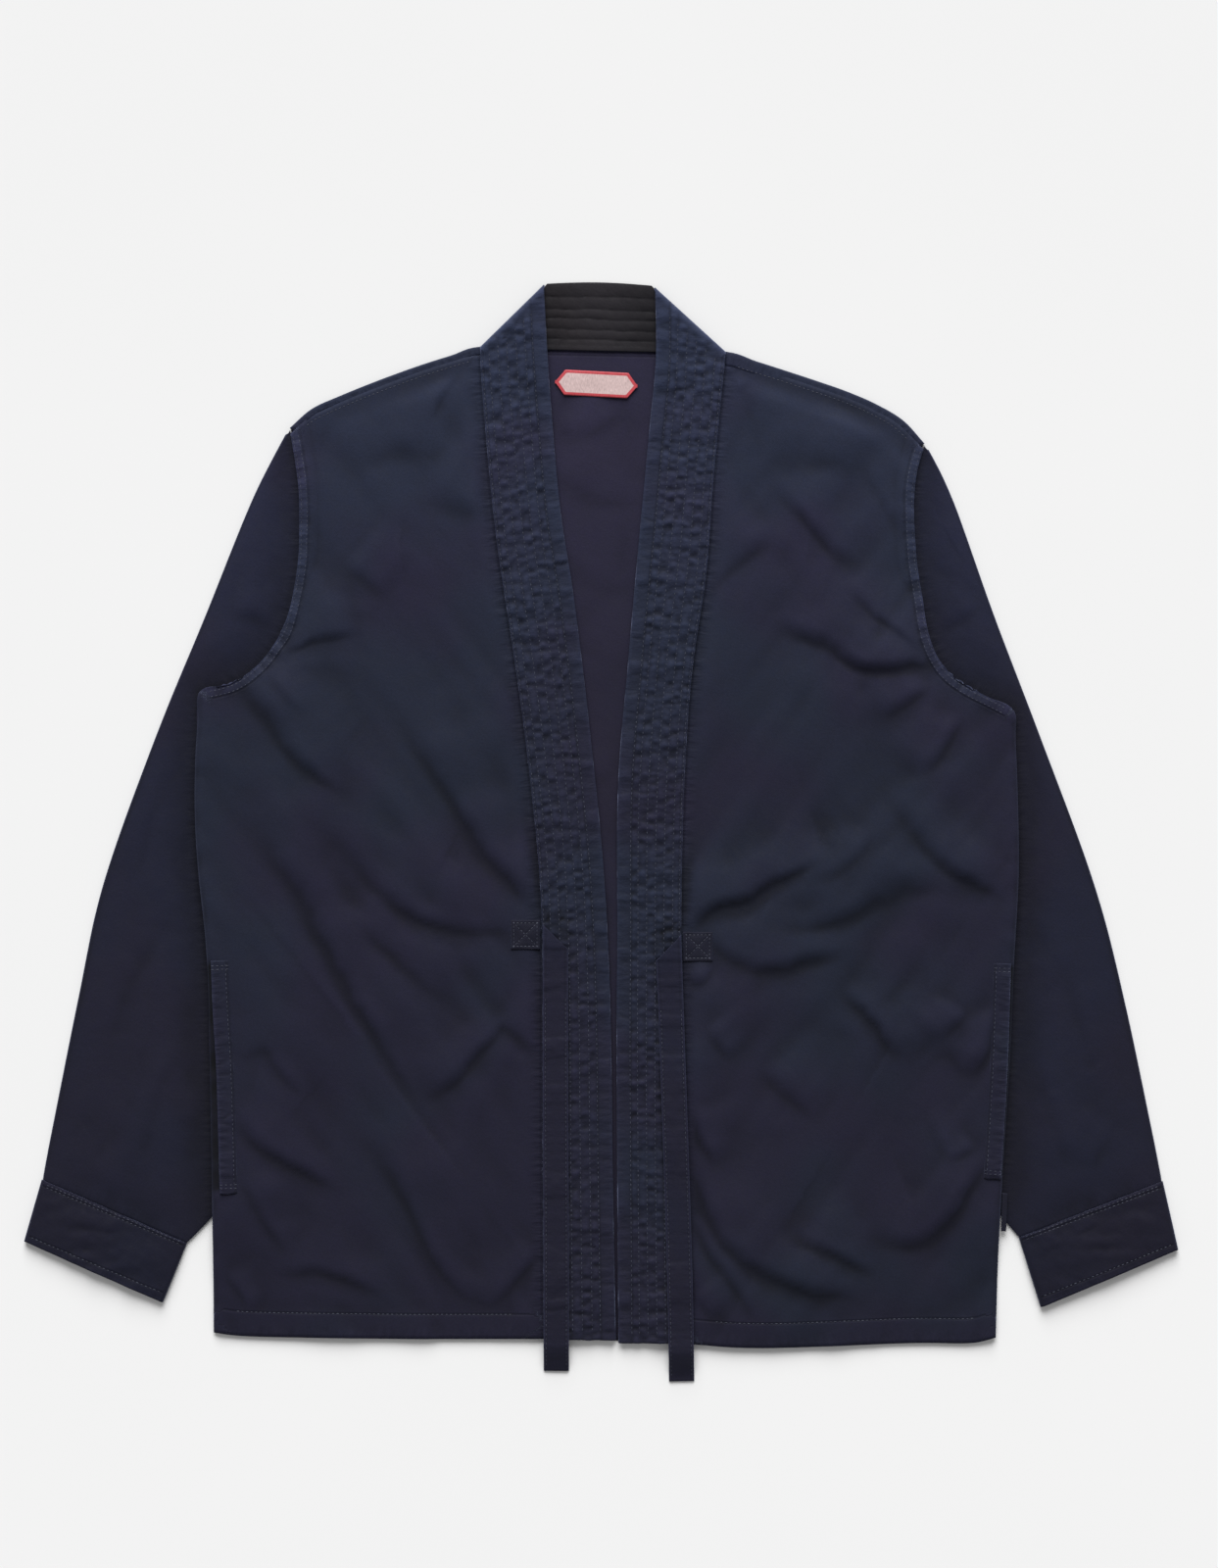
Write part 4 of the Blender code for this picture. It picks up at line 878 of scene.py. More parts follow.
for side in SIDES:
    xy = refined(front_grid(side), 8, 7)
    arm_away, arm_along = along_line(xy, smooth_line(ARMHOLE[side], 40))
    side_away, _ = along_line(xy, smooth_line(SIDE_SEAM[side], 40))
    scallops = unevenness(np.stack([arm_along, 0.4 * arm_away], axis=-1), 4.6, 61)
    # Painted on the fronts' colour: lighter along the armhole's stitched strip, in uneven scallops, and in a
    # thin line by the side seam; painted shade in the pocket's mouth.
    shade = (1 - smoothstep((arm_away - 4.5) / 3.0)) * (0.45 + 0.5 * scallops)
    shade += 0.35 * np.exp(-((side_away / 1.6) ** 2)) - 1.1 * pocket_mouth(xy, side)
    top = front_top(xy, side)
    marks = front_marks(xy, side)
    front = cloth_sheet(f"front_{side}_cloth", xy, top, outer_cotton, seam=marks, shade=shade)
    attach(front, "root")
    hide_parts(f"front_{side}")
    ["side_label_cloth"] if side == "left" else []

    armhole, shoulder = smooth_line(ARMHOLE[side], 60), smooth_line(SHOULDER[side], 40)
    rows = [moved_aside(armhole, OUTWARD[side] * off)[2:-2] for off in ARMHOLE_ROWS]
    rows.append(moved_aside(smooth_line(HEM[side], 60), -OUTWARD[side] * HEM_DEPTH)[4:-6])
    rows.append(moved_aside(shoulder, OUTWARD[side] * SHOULDER_ROW)[3:-3])
    sewn(f"front_{side}_stitches", rows, with_level(xy, top), navy_thread)

# ---------------------------------------------------------------------------------------------------
# The sleeves
# Each is one piece of twill, sewn to a tube and set into the armhole. It lies flat with its underarm
# beneath the body's side, slightly full in the middle, and sinks in beside the armhole's seam.
# ---------------------------------------------------------------------------------------------------
OVERARM = {
    "right": [
        (-224.0, 286.0), (-249.0, 237.0), (-283.0, 153.0), (-317.5, 69.0),
        (-355.0, -36.0), (-373.5, -120.0), (-399.0, -248.0),
    ],
    "left": [
        (232.5, 275.0), (251.0, 237.0), (281.0, 153.0), (313.0, 69.0),
        (351.5, -36.0), (373.5, -120.0), (400.6, -249.3),
    ],
}
SLEEVE_FLAT = 3.0
SLEEVE_CREASES = {
    "right": [
        Crease(1.2, 12, [(-262, 158), (-248, 153), (-233, 148)]),
        Crease(1.0, 14, [(-300, 60), (-318, 20), (-330, -20)]),
        Crease(1.0, 16, [(-312, -60), (-340, -110), (-352, -150)]),
        Crease(0.9, 10, [(-366, -236), (-357, -249), (-346, -258)]),
        Crease(0.9, 14, [(-296, -150), (-318, -190), (-330, -235)]),
    ],
    "left": [
        Crease(1.2, 12, [(240, 146), (256, 152), (268, 160)]),
        Crease(1.0, 14, [(304, 70), (318, 24), (334, -10)]),
        Crease(1.0, 16, [(316, -70), (338, -118), (350, -160)]),
        Crease(0.9, 12, [(310, -160), (322, -200), (330, -232)]),
        Crease(0.9, 10, [(366, -210), (350, -240)]),
    ],
}


def body_outline():
    halves = []
    for side in SIDES:
        flank, armhole = smooth_line(SIDE_SEAM[side], 20), smooth_line(ARMHOLE[side], 20)
        halves.append(chained(flank, armhole, smooth_line(SHOULDER[side], 8)))
    return np.vstack([halves[0], halves[1][::-1]])


def square_to(line, away_from):
    """Level directions square to a line in 3-D, that point away from another line."""
    along = np.gradient(line[:, :2], axis=0)
    along /= np.linalg.norm(along, axis=1)[:, None]
    square = np.stack([-along[:, 1], along[:, 0], 0.0 * along[:, 0]], axis=1)
    facing = np.sign(np.sum(square * (line - away_from), axis=1))
    return square * facing[:, None]


def tube_points(top, bottom, open_rows=0):
    """A flattened tube: its points and quads, from grids of its upper and lower walls whose columns run from
    the outer fold to the inner one. The inner fold is open in the first rows, for the armhole."""
    rounds = [math.radians(turn) for turn in (60.0, 30.0, 0.0, -30.0, -60.0)]
    outward = square_to(top[:, 0], away_from=top[:, -1])
    inward = square_to(top[:, -1], away_from=top[:, 0])

    def folded(high, low, out):
        radius = 0.5 * (high[:, 2] - low[:, 2])[:, None]
        centre = 0.5 * (high + low)
        upright = np.array([0.0, 0.0, 1.0])
        return np.stack([centre + radius * (out * math.cos(a) + upright * math.sin(a)) for a in rounds], axis=1)

    outer = folded(top[:, 0], bottom[:, 0], outward)
    inner = folded(top[:, -1], bottom[:, -1], inward)
    rings = np.concatenate([bottom[:, ::-1], outer[:, ::-1], top, inner], axis=1)
    rows, columns = rings.shape[:2]
    quads = quads_of(rows, columns - len(rounds))
    shift = np.arange(rows) * len(rounds)
    quads = quads + shift[quads // (columns - len(rounds))]
    index = np.arange(rows * columns).reshape(rows, columns)
    closing = np.concatenate([index[:, -len(rounds) - 1:], index[:, :1]], axis=1)[open_rows:]
    strips = [
        np.stack([closing[:-1, k], closing[:-1, k + 1], closing[1:, k + 1], closing[1:, k]], axis=-1)
        for k in range(closing.shape[1] - 1)
    ]
    return rings.reshape(-1, 3), np.concatenate([quads] + strips), top.shape[1]


def tube(name, top, bottom, cloth, thickness, seam, wear_and_shade, open_rows=0):
    """The tube as a piece: seam and wear_and_shade (wear and painted light and shade) are known on its upper
    wall, and are plain elsewhere.
    """
    points, quads, width = tube_points(top, bottom, open_rows)
    rows = len(top)
    columns = len(points) // rows
    marks = np.zeros((rows, columns, 3))
    marks[..., 1], marks[..., 2] = FAR_OFF, UNSTITCHED
    first = width + 5
    marks[:, first:first + width] = seam
    wear_and_shade_grid = np.zeros((rows, columns))
    wear_and_shade_grid[:, first:first + width] = wear_and_shade
    used = np.zeros(len(points), bool)
    used[quads] = True
    fresh = np.cumsum(used) - 1
    corners = points[quads]
    up = np.cross(corners[:, 2] - corners[:, 0], corners[:, 3] - corners[:, 1])[:, 2]
    highest = np.argmax(corners[:, :, 2].mean(axis=1))
    if up[highest] < 0:
        quads = quads[:, ::-1]
    mesh = bpy.data.meshes.new(name)
    mesh.from_pydata(points[used] * MM, [], fresh[quads].tolist())
    marked(mesh, marks.reshape(-1, 3)[used], wear_and_shade_grid.reshape(-1)[used])
    return thickened(new_piece(name, mesh, cloth), thickness)


# The sleeves' twill is a darker copy of the fronts' twill: painted shade for the sleeves beside the body.
shaded_sleeve_cotton = cotton("navy cotton sleeve", (0.0080, 0.0090, 0.0220), (0.0090, 0.0084, 0.0200), turn=0.25)
body_plan = body_outline()

for side in SIDES:
    sign = OUTWARD[side]
    rows_armhole, rows_arm, finer = 7, 17, 8
    armhole = ARMHOLE[side][4:][::-1]
    edge = smooth_line(smooth_line(armhole, 80)[1:], rows_armhole + 1)
    lap = 2.0 - 2.2 * smoothstep(1.0 - np.linspace(0.0, rows_armhole, rows_armhole + 1) / 2.0)
    edge = moved_aside(edge, -sign * lap)
    inner = moved_aside(smooth_line(UNDERARM[side], rows_arm + 1), sign * 0.5 * SLEEVE_FLAT)
    inner[-1] += np.array([sign * 1.0, -2.6])
    inner = chained(edge, inner)
    outer = smooth_line(smooth_line(OVERARM[side], 200)[0:], len(inner))
    outer = moved_aside(outer, -sign * 0.5 * SLEEVE_FLAT)
    outer[-1] += np.array([sign * 0.2, -2.8])
    share = np.linspace(0.0, 1.0, 7)[None, :, None]
    xy = refined((1 - share) * outer[:, None] + share * inner[:, None], finer, finer)
    share = np.linspace(0.0, 1.0, xy.shape[1])[None, :]
    body_edge = chained(smooth_line(SIDE_SEAM[side], 30), smooth_line(ARMHOLE[side], 40))
    body_away, body_along = along_line(xy, body_edge)
    bare = ~inside(xy, body_plan)
    clear = smoothstep(body_away / 30.0 - 0.25) * bare
    cuff_line = np.array([outer[-1], inner[-1]])
    cuff_away, cuff_along = along_line(xy, cuff_line)
    puff = 2.4 * clear * smoothstep(cuff_away / 30.0) * np.sin(math.pi * share) ** 0.7
    seed = 110 if side == "right" else 140
    soft = creased(xy, SLEEVE_CREASES[side], seed) + 0.5 * unevenness(xy, 42.0, seed + 5)
    soft += 0.25 * unevenness(xy, 16.0, seed + 6) + 0.1 * unevenness(xy, 7.0, seed + 7)
    gathers = unevenness(np.stack([cuff_along, 0.4 * cuff_away], axis=-1), 8.0, seed + 8)
    soft += 0.4 * gathers * np.exp(-((cuff_away / 12.0) ** 2))
    rounded = np.sin(math.pi * share) ** 0.4
    into_cuff = smoothstep(1.0 - cuff_away / 5.0)
    relief = np.maximum(soft, -0.6) * smoothstep(body_away / 16.0) * bare * rounded
    top = with_level(xy, SLEEVE_FLAT + puff + relief * (1.0 - into_cuff) - 0.15 * into_cuff)
    bottom = with_level(xy, 0.95 * into_cuff)
    marks = np.stack([body_along, np.where(bare, body_away, 0.0), np.full(puff.shape, UNSTITCHED)], axis=-1)
    at_cuff = cuff_away < body_away
    marks[at_cuff] = np.stack([cuff_along, cuff_away, np.full(puff.shape, UNSTITCHED)], axis=-1)[at_cuff]
    # Painted shadow: the sleeve is darkened beside the body's side and armhole, where the body stands over it.
    painted_body_shadow = 0.75 * np.exp(-((body_away / 15.0) ** 2)) + 0.5 * np.exp(-((body_away / 4.0) ** 2))
    sleeve = tube(
        f"sleeve_{side}_cloth", top, bottom, shaded_sleeve_cotton, SHELL, marks,
        wear_and_crease_shade(top[..., 2], 12) - painted_body_shadow, open_rows=rows_armhole * finer,
    )
    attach(sleeve, "root")
    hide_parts(f"sleeve_{side}")

# ---------------------------------------------------------------------------------------------------
# The cuffs
# Each is a strip of the twill, folded double and coloured darker than the sleeve, sewn to the sleeve's
# end and stitched twice along that seam and once along its mouth.
# ---------------------------------------------------------------------------------------------------
CUFF_SEAM = {"right": [(-399.5, -249.0), (-295.5, -293.0)], "left": [(401.0, -250.0), (298.0, -289.0)]}
CUFF_MOUTH = {"right": [(-412.0, -293.0), (-312.5, -335.0)], "left": [(412.0, -299.0), (313.5, -338.5)]}
CUFF_CREASES = {
    "right": [Crease(1.0, 6, [(-378, -280), (-362, -284), (-344, -285)])],
    "left": [
        Crease(0.9, 6, [(336, -288), (346, -284), (355, -281)]),
        Crease(0.9, 6, [(381, -268), (391, -265), (401, -263)]),
        Crease(0.8, 6, [(315, -300), (328, -293)]),
    ],
}
cuff_cotton = cotton(
    "navy cotton cuff", (0.0064, 0.0070, 0.0180), (0.0072, 0.0064, 0.0160), turn=0.4, crinkle=0.1,
)

for side in SIDES:
    rows = 37
    share = np.linspace(0.0, 1.0, rows)
    height = 3.8 + 1.2 * smoothstep(2.0 * share)
    inset = np.stack([0.5 * height, 0.0 * height], axis=1) * -OUTWARD[side]
    outer = np.linspace(CUFF_SEAM[side][0], CUFF_MOUTH[side][0], rows) + inset
    inner = np.linspace(CUFF_SEAM[side][1], CUFF_MOUTH[side][1], rows) - inset
    across = np.linspace(0.0, 1.0, 85)[None, :, None]
    xy = (1 - across) * outer[:, None] + across * inner[:, None]
    low = 1.2 * np.sin(math.pi * across[..., 0]) * share[:, None] ** 1.5
    seam_away, seam_along = along_line(xy, np.array(CUFF_SEAM[side]))
    mouth_away, mouth_along = along_line(xy, np.array(CUFF_MOUTH[side]))
    seed = 170 if side == "right" else 190
    soft = creased(xy, CUFF_CREASES[side], seed) + 0.3 * unevenness(xy, 24.0, seed + 4) + 0.4
    soft += 0.55 * unevenness(xy * np.array([0.4, 1.0]), 7.0, seed + 5) + 0.2 * unevenness(xy, 5.0, seed + 7)
    gathers = unevenness(np.stack([seam_along, 0.5 * seam_away], axis=-1), 5.0, seed + 6)
    soft += 0.3 * gathers * np.exp(-((seam_away / 8.0) ** 2))
    soft *= np.sin(math.pi * across[..., 0]) ** 0.4
    top = with_level(xy, low + height[:, None] + soft)
    bottom = with_level(xy, low)
    marks = np.stack([seam_along, seam_away, np.full(low.shape, 3.2)], axis=-1)
    at_mouth = mouth_away < seam_away
    marks[at_mouth] = np.stack([mouth_along, mouth_away, np.full(low.shape, 5.6)], axis=-1)[at_mouth]
    cuff = tube(f"cuff_{side}_cloth", top, bottom, cuff_cotton, SHELL, marks, wear_and_crease_shade(top[..., 2], 8))
    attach(cuff, "root")
    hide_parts(f"cuff_{side}")

    ends = np.array(CUFF_SEAM[side] + CUFF_MOUTH[side][::-1])
    shares = ((0.03, 0.97), (0.07, 0.96), (0.88, 0.97))
    rows = []
    for down, reach in shares:
        row = np.linspace(ends[0] * (1 - down) + ends[3] * down, ends[1] * (1 - down) + ends[2] * down, 40)
        rows.append(row[2:-2])
    sewn(f"cuff_{side}_stitches", rows, top, navy_thread)

# ---------------------------------------------------------------------------------------------------
# The collar behind the neck
# The long collar strip stands up here and shows its brown-black lining, quilted to its wadding in six
# uneven rows that run along it. The front bands fold over its ends.
# ---------------------------------------------------------------------------------------------------
QUILT_LINES = (0.0, 0.16, 0.30, 0.46, 0.60, 0.79, 1.0)
lining = cotton(
    "brown black quilted lining", (0.0080, 0.0070, 0.0084), (0.0105, 0.0078, 0.0088), crinkle=0.2, sheen=0.2,
)

rows, columns = 73, 181
lift = np.array([0.0, -1.2])
neck = np.linspace((-86.5, 346.0), (89.0, 342.5), columns) + lift
crown = np.linspace((-41.0, 391.0), (38.5, 389.5), columns)
crown[:, 1] += 1.8 * np.sin(np.linspace(0.0, math.pi, columns))
neck[0, 0], neck[-1, 0] = neck[0, 0] + 7.0, neck[-1, 0] - 7.0
neck = np.linspace(neck[0], neck[-1], columns)
crown_run = np.linspace(-38.5, 36.0, columns)
order = np.argsort(crown[:, 0])
crown_rise = np.interp(crown_run, crown[order, 0], crown[order, 1])
crown = np.stack([crown_run, crown_rise], axis=1)
share = np.linspace(0.0, 1.0, rows)[:, None]
xy = (1 - share[..., None]) * neck[None] + share[..., None] * crown[None]
wavy = share + 0.02 * unevenness(xy, 26.0, 210) + 0.01 * unevenness(xy, 9.0, 211)
row_number = np.clip(np.searchsorted(QUILT_LINES, wavy, side="right") - 1, 0, 5)
edges = np.array(QUILT_LINES)
within = np.clip((wavy - edges[row_number]) / (edges[row_number + 1] - edges[row_number]), 0.0, 1.0)
puffed = np.sin(math.pi * within) ** 0.55
tucks = unevenness(np.stack([xy[..., 0], 40.0 * row_number + 0.25 * xy[..., 1]], axis=-1), 4.5, 212)
top = 1.35 + 0.75 * puffed * (1.0 + 0.3 * tucks)
lap = 1.0 - smoothstep((share * 46.0 - 1.6) / 2.6)
top = top + lap * (2.5 - top)
# Painted sheen: the lining's colour is lighter across the middle of the neck and darker towards its ends.
middle = 0.5 * np.cos(np.clip((xy[..., 0] + 2.0) / 42.0, -1.0, 1.0) * math.pi) - 0.1
collar = cloth_sheet("collar_back_cloth", xy, top, lining, thickness=0.8, wear_and_shade_step=10, shade=middle)
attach(collar, "root")
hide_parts("collar_back")

# ---------------------------------------------------------------------------------------------------
# The front bands
# The collar strip runs down both fronts, folded double over wadding. Rows of stitching run lengthwise and
# draw the cloth into fine cross crinkles; a plain, puckered strip is left along the opening's edge.
# ---------------------------------------------------------------------------------------------------
BAND_EDGE = {
    "right": [
        (10.5, -363.0), (8.5, -253.0), (6.5, -122.0), (1.5, -24.0), (-9.0, 81.0),
        (-20.0, 171.0), (-29.5, 233.0), (-37.0, 321.0), (-41.0, 390.5),
    ],
    "left": [
        (12.3, -365.0), (11.0, -162.0), (11.5, -78.0), (12.0, 32.0), (19.5, 124.0),
        (26.5, 203.0), (34.5, 288.0), (39.0, 338.0), (38.5, 388.5),
    ],
}
TIE_WIDTH = 18.0
TIE = {
    "right": [(-32.5, -66.0), (-32.5, -180.0), (-32.0, -300.0), (-32.0, -385.0)],
    "left": [(48.0, -74.0), (51.0, -162.0), (55.5, -298.0), (57.5, -392.4)],
}
BAND_ROWS = (0.0, 0.135, 0.27, 0.405, 0.54, 0.675, 0.79, 1.0)
BAND_WALL = 2.2
band_cotton = cotton(
    "navy cotton stitched band", (0.0098, 0.0130, 0.0272), (0.0108, 0.0106, 0.0245),
    crinkle=0.26, nap=0.06, turn=1.07, pucker=0.5, sheen=0.3,
)


def band_ground(xy, side):
    """The level of a band's underside: on the front's edge, and down on the back towards the opening."""
    lapped, _ = along_line(xy, smooth_line(BAND_SEAM[side], 30))
    on_front = 1 - smoothstep((lapped - SEAM_LAP - 6.0) / 26.0)
    on_collar = smoothstep((xy[..., 1] - 308.5) / 26.0)
    return sleeve_rise(xy) + WALL + LAYER_GAP + 1.75 * np.maximum(on_front, on_collar)


def band_share(xy, side):
    """How far across the band a point lies, from the seam (0) to the opening's edge (1)."""
    seam, edge = smooth_line(BAND_SEAM[side], 80), smooth_line(BAND_EDGE[side], 80)
    low = np.interp(xy[..., 1], seam[:, 1], seam[:, 0])
    high = np.interp(xy[..., 1], edge[:, 1], edge[:, 0])
    return np.clip((xy[..., 0] - low) / (high - low), 0.0, 1.0)


def band_top(xy, side, share=None):
    """A band's upper face: crinkled between its rows of stitching, and puckered along the edge strip."""
    share = band_share(xy, side) if share is None else share
    seed = 230 if side == "right" else 250
    lines = np.array(BAND_ROWS)
    row = np.clip(np.searchsorted(lines, share, side="right") - 1, 0, len(lines) - 2)
    within = np.clip((share - lines[row]) / (lines[row + 1] - lines[row]), 0.0, 1.0)
    puffed = np.sin(math.pi * within) ** 0.6
    plain = row == len(lines) - 2
    y = xy[..., 1]
    fine = unevenness(np.stack([0.22 * xy[..., 0] + 31.0 * row, y], axis=-1), 3.1, seed)
    coarse = unevenness(np.stack([0.12 * xy[..., 0], y], axis=-1), 7.5, seed + 1)
    speckled = unevenness(xy, 2.6, seed + 5)
    nips = -0.5 * np.exp(-((coarse / 0.12) ** 2))
    crinkle = np.where(plain, 0.9 * coarse + nips, 0.95 * fine + 0.5 * coarse + 0.5 * speckled)
    swell = 0.35 * unevenness(xy, 40.0, seed + 2)
    raised = 0.34 * puffed + crinkle * (0.35 + 0.65 * puffed) + swell
    seam_round = (1.0 - np.clip(share * 30.0, 0, 1)) ** 2
    edge_round = (1.0 - np.clip((1 - share) * 24.0, 0, 1)) ** 2
    rounded = 1.0 - seam_round * 0.5 - edge_round
    return band_ground(xy, side) + BAND_WALL + raised * np.clip(rounded, 0.0, 1.0) - 0.5 * (1.0 - rounded)


for side in SIDES:
    rows, columns = 581, 37
    seam, edge = smooth_line(BAND_SEAM[side], rows), smooth_line(BAND_EDGE[side], rows)
    share = np.linspace(0.0, 1.0, columns)
    xy = (1 - share[None, :, None]) * seam[:, None] + share[None, :, None] * edge[:, None]
    share = np.broadcast_to(share, xy.shape[:2])
    top = band_top(xy, side, share)
    fold_away, _ = along_line(xy, xy[-1])
    turn = np.clip(1.0 - fold_away / 4.0, 0.0, 1.0)
    top = top - (top - 1.4) * (1.0 - np.sqrt(1.0 - turn**2))
    edge_away, edge_along = along_line(xy, edge[::8])
    seam_away, seam_along = along_line(xy, seam[::8])
    marks = np.stack([seam_along, seam_away, np.full(top.shape, 1.6)], axis=-1)
    at_edge = share > 0.5
    marks[at_edge] = np.stack([edge_along, edge_away, np.full(top.shape, 10.2)], axis=-1)[at_edge]
    tie_away, _ = along_line(xy, smooth_line(TIE[side], 40))
    # Painted shadow: the band is darkened beside and under the tie.
    painted_tie_shadow = np.exp(-((np.maximum(tie_away - 0.5 * TIE_WIDTH, 0.0) / 2.2) ** 2))
    band = cloth_sheet(
        f"band_{side}_cloth", xy, top, band_cotton, thickness=1.1, seam=marks,
        wear_and_shade_step=8, bright=0.8, shade=-0.7 * painted_tie_shadow,
    )
    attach(band, "root")
    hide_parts(f"band_{side}")

    shares = (0.03,) + BAND_ROWS[1:-1]
    rows = [((1 - part) * seam + part * edge)[6:-10:4] for part in shares]
    surface = with_level(xy, top)
    sewn(f"band_{side}_stitches", rows, surface, navy_thread, pitch=3.4)

# ---------------------------------------------------------------------------------------------------
# The ties and their tabs
# Each tie is a flat doubled tape of the twill, folded over at its root and hanging loose down the band,
# past the hem. A small square of black twill, stitched round and across, holds its end to the front.
# ---------------------------------------------------------------------------------------------------
TAB = {"right": (-54.0, -73.5), "left": (69.0, -82.0)}
TAB_SIZE = 21.0
tie_cotton = cotton(
    "navy cotton tie", (0.0080, 0.0090, 0.0220), (0.0090, 0.0084, 0.0200), turn=0.1, crinkle=0.1,
)

for side in SIDES:
    sign = OUTWARD[side]
    middle = smooth_line(TIE[side], 261)
    columns = np.linspace(0.5, -0.5, 15) * TIE_WIDTH
    xy = np.stack([moved_aside(middle, off) for off in columns], axis=1)
    aside = (np.arange(len(columns)) / (len(columns) - 1))
    cut = aside if side == "left" else 1.0 - aside
    root = TIE_WIDTH * np.clip(1.0 - np.arange(len(middle)) / 40.0, 0.0, 1.0)
    xy[..., 1] -= root[:, None] * cut[None, :]
    ground = band_ground(xy, side) + BAND_WALL + 0.95
    past = smoothstep((BAND_SEAM[side][0][1] - 4.0 - xy[..., 1]) / 20.0)
    seed = 270 if side == "right" else 290
    across = np.broadcast_to(columns / TIE_WIDTH, xy.shape[:2])
    short = unevenness(np.stack([0.3 * xy[..., 0], xy[..., 1]], axis=-1), 15.0, seed)
    soft = 0.9 * short - 0.7 * np.exp(-((short / 0.13) ** 2)) + 0.2 * unevenness(xy, 6.0, seed + 1)
    soft += 0.8 * smoothstep((xy[..., 1] - TIE[side][0][1] + TIE_WIDTH) / 1.5)
    flat = 1.0 - 0.5 * np.clip((np.abs(across) - 0.42) / 0.08, 0.0, 1.0) ** 2
    level = ground * (1 - past) + 0.6 * past
    top = level + 0.95 * flat + np.maximum(soft, -0.3) * (1.0 - 0.5 * past)
    edge_away = (0.5 - np.abs(across)) * TIE_WIDTH
    marks = np.stack([xy[..., 1], edge_away, np.full(top.shape, 1.7)], axis=-1)
    # Painted highlight along both edges of the tie, and the tie lightened a little all over.
    shade = 0.7 * np.exp(-((edge_away / 1.3) ** 2)) + 0.1
    tie = cloth_sheet(
        f"tie_{side}_cloth", xy, top, tie_cotton, thickness=0.9, seam=marks, wear_and_shade_step=8, shade=shade,
    )
    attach(tie, "root")
    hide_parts(f"tie_{side}")
    rows = [moved_aside(middle, off)[44:-3:4] for off in (0.40 * TIE_WIDTH, -0.40 * TIE_WIDTH)]
    sewn(f"tie_{side}_stitches", rows, with_level(xy, top), navy_thread, size=(2.0, 0.45, 0.35))

    x, y = np.meshgrid(np.linspace(-0.5, 0.5, 29), np.linspace(-0.5, 0.5, 29))
    xy = np.dstack([x, y]) * TAB_SIZE + np.array(TAB[side])
    off_edge = (0.5 - np.maximum(np.abs(x), np.abs(y))) * TAB_SIZE
    box = np.exp(-(((off_edge - 2.2) / 0.9) ** 2))
    crossed = np.exp(-((np.minimum(np.abs(x - y), np.abs(x + y)) * TAB_SIZE / 1.0) ** 2)) * (off_edge > 2.2)
    level = front_top(xy, side)
    level = level.mean() * 0.5 + level * 0.5 + 1.1
    top = level + 0.5 * unevenness(xy, 8.0, seed + 3) * (off_edge > 1.0) - 0.35 * np.maximum(box, crossed)
    top -= 0.45 * np.clip(1.0 - off_edge / 1.6, 0.0, 1.0) ** 2
    corner = 0.5 * TAB_SIZE - 2.2
    square = np.array([(-1, -1), (1, -1), (1, 1), (-1, 1), (-1, -1)]) * corner + np.array(TAB[side])
    rows = [np.linspace(a, b, 8) for a, b in zip(square, square[1:])]
    rows += [np.linspace(square[0], square[2], 10), np.linspace(square[1], square[3], 10)]
    sewn(f"tie_tab_{side}_stitches", rows, with_level(xy, top), navy_thread, pitch=2.6)
    tab = cloth_sheet(f"tie_tab_{side}_cloth", xy, top, black_twill, thickness=0.8, wear_and_shade_step=5)
    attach(tab, "root")
    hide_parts(f"tie_tab_{side}")

# ---------------------------------------------------------------------------------------------------
# The pocket facings
# The pockets' mouths lie in the side seams. The front's edge is turned in and stitched down there, which
# draws it into cross puckers.
# ---------------------------------------------------------------------------------------------------
POCKET_FACING = 12.5

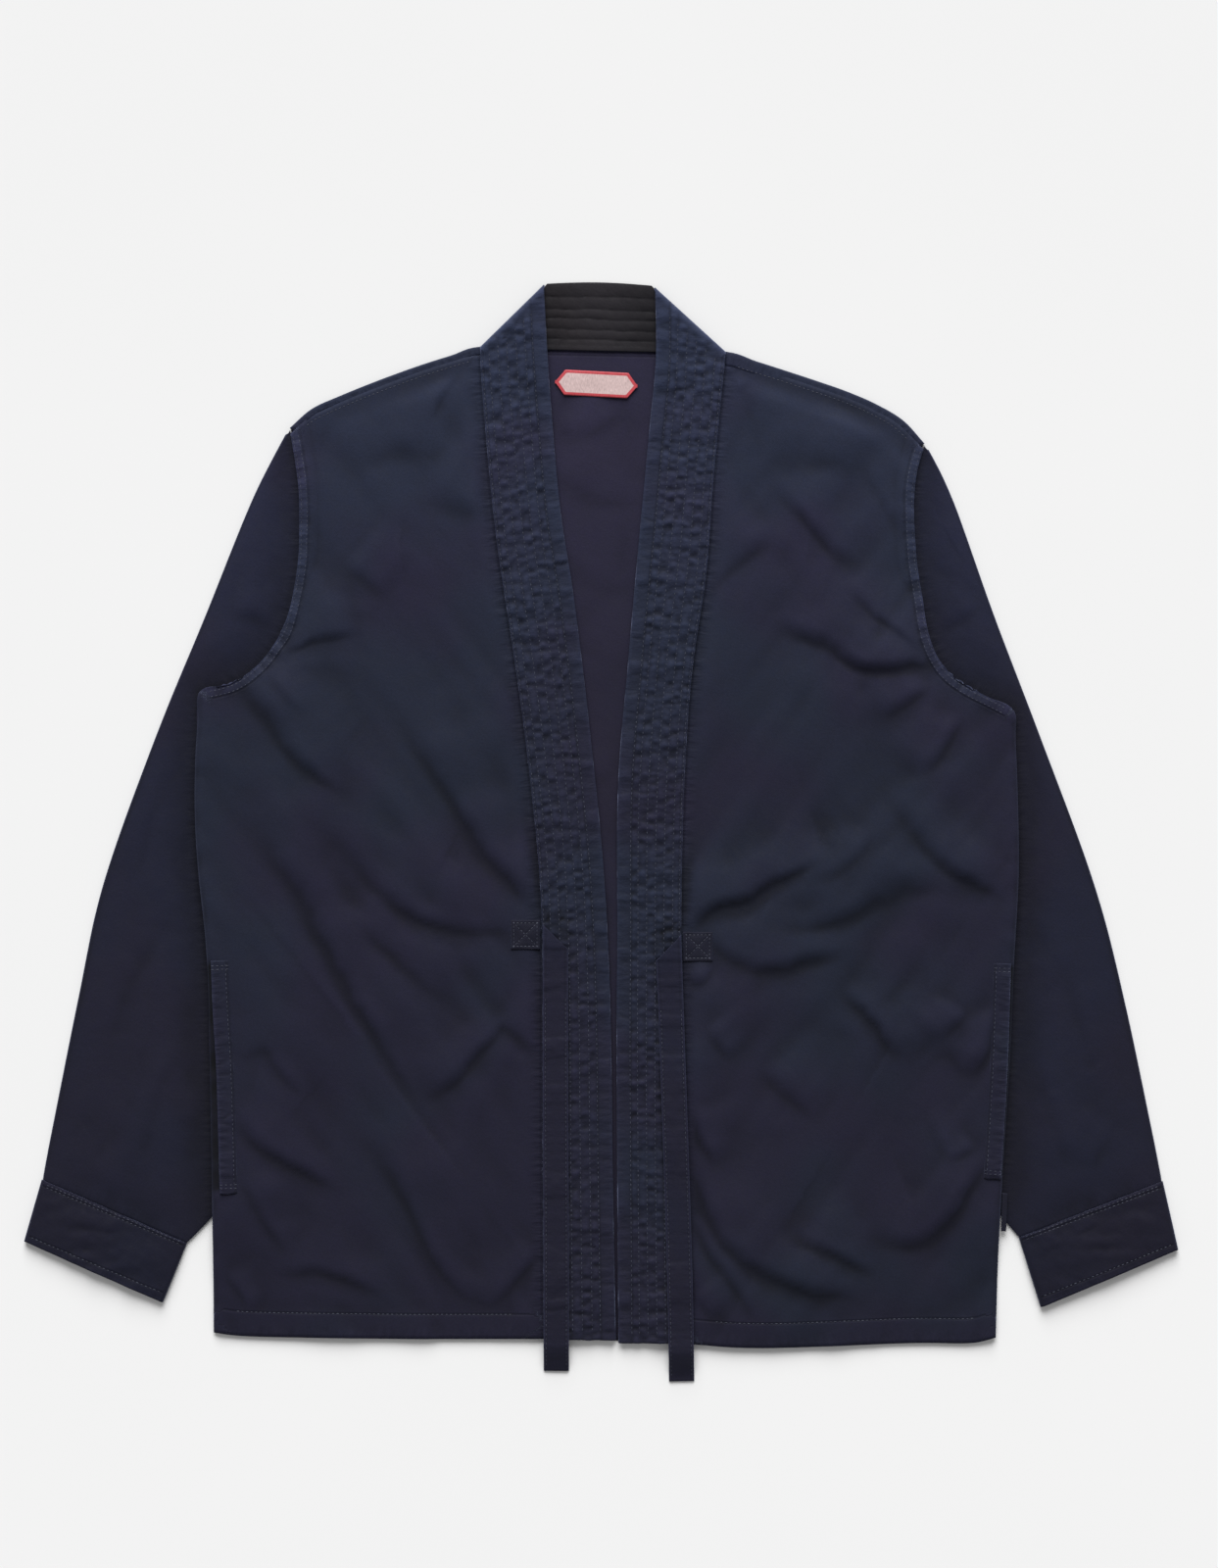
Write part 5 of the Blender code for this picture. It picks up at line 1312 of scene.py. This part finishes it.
for side in SIDES:
    edge = smooth_line(POCKET[side], 133)
    share = np.linspace(0.0, 1.0, 13)[None, :, None]
    inner = moved_aside(edge, -OUTWARD[side] * POCKET_FACING)
    xy = (1 - share) * edge[:, None] + share * inner[:, None]
    seed = 310 if side == "right" else 330
    _, along = along_line(xy, edge)
    away = share[..., 0] * POCKET_FACING
    puckers = unevenness(np.stack([along, 0.3 * np.broadcast_to(away, along.shape)], axis=-1), 8.5, seed)
    rim = np.clip(1.0 - away / 1.8, 0.0, 1.0) ** 2 + np.clip(1.0 - (POCKET_FACING - away) / 1.5, 0.0, 1.0) ** 2
    nips = 0.6 * puckers - 0.45 * np.exp(-((puckers / 0.15) ** 2))
    flat_in = smoothstep((POCKET_FACING - away) / 3.0)
    top = front_top(xy, side, mouth=0.0) + 0.35 + 0.8 * flat_in
    top = top + nips * np.sin(math.pi * share[..., 0]) ** 0.5 - 0.3 * rim
    stitching = np.full(along.shape, POCKET_FACING - 1.6)
    marks = np.stack([along, np.broadcast_to(away, along.shape), stitching], axis=-1)
    facing = cloth_sheet(
        f"pocket_facing_{side}_cloth", xy, top, outer_cotton, thickness=0.8, seam=marks, wear_and_shade_step=6,
        shade=0.25 * np.exp(-((away / 1.6) ** 2)) + np.zeros(along.shape),
    )
    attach(facing, "root")
    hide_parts(f"pocket_facing_{side}")
    rows = [xy[3:-3:3, -3], xy[3, 1:-1:2], xy[5, 1:-1:2], xy[-4, 1:-1:2], xy[-6, 1:-1:2]]
    sewn(f"pocket_facing_{side}_stitches", rows, with_level(xy, top), navy_thread)

# ---------------------------------------------------------------------------------------------------
# The table, the light and the camera
# A plain white table with soft daylight from above the collar. The camera looks straight down.
# ---------------------------------------------------------------------------------------------------
TABLE_SIZE = 6.0
table_mesh = bpy.data.meshes.new("table")
half = 0.5 * TABLE_SIZE
table_corners = [(-half, -half, 0), (half, -half, 0), (half, half, 0), (-half, half, 0)]
table_mesh.from_pydata(table_corners, [], [(0, 1, 2, 3)])
white = bpy.data.materials.new("white table")
white.use_nodes = True
table_shader = white.node_tree.nodes["Principled BSDF"]
wire = Wire(white.node_tree)
grain = wire.node("ShaderNodeTexCoord", {}, {}, out="Object").noise(3.0, 2.0)
tone = grain.eased(0.3, 0.7).mixed((0.822, 0.822, 0.822, 1.0), (0.828, 0.828, 0.828, 1.0))
white.node_tree.links.new(tone.socket, table_shader.inputs["Base Color"])
table_shader.inputs["Roughness"].default_value = 0.9
table_shader.inputs["Specular IOR Level"].default_value = 0.0
table_mesh.materials.append(white)
table = bpy.data.objects.new("table", table_mesh)
bpy.context.scene.collection.objects.link(table)

world = bpy.data.worlds.new("daylight")
world.use_nodes = True
world.node_tree.nodes["Background"].inputs["Color"].default_value = (1.0, 1.0, 1.0, 1.0)
world.node_tree.nodes["Background"].inputs["Strength"].default_value = 0.36
bpy.context.scene.world = world

sun_light = bpy.data.lights.new("window", "SUN")
sun_light.energy = 4.3
sun_light.angle = math.radians(44.0)
sun = bpy.data.objects.new("window", sun_light)
sun.rotation_euler = (math.radians(-58.0), 0.0, math.radians(3.0))
bpy.context.scene.collection.objects.link(sun)

lens = bpy.data.cameras.new("camera")
lens.lens = 90.0
lens.sensor_width = 36.0
lens.clip_end = 20.0
camera = bpy.data.objects.new("camera", lens)
camera.location = (0.0056, 0.03395, 2.8)
bpy.context.scene.collection.objects.link(camera)
bpy.context.scene.camera = camera
bpy.context.scene.view_settings.view_transform = "Standard"
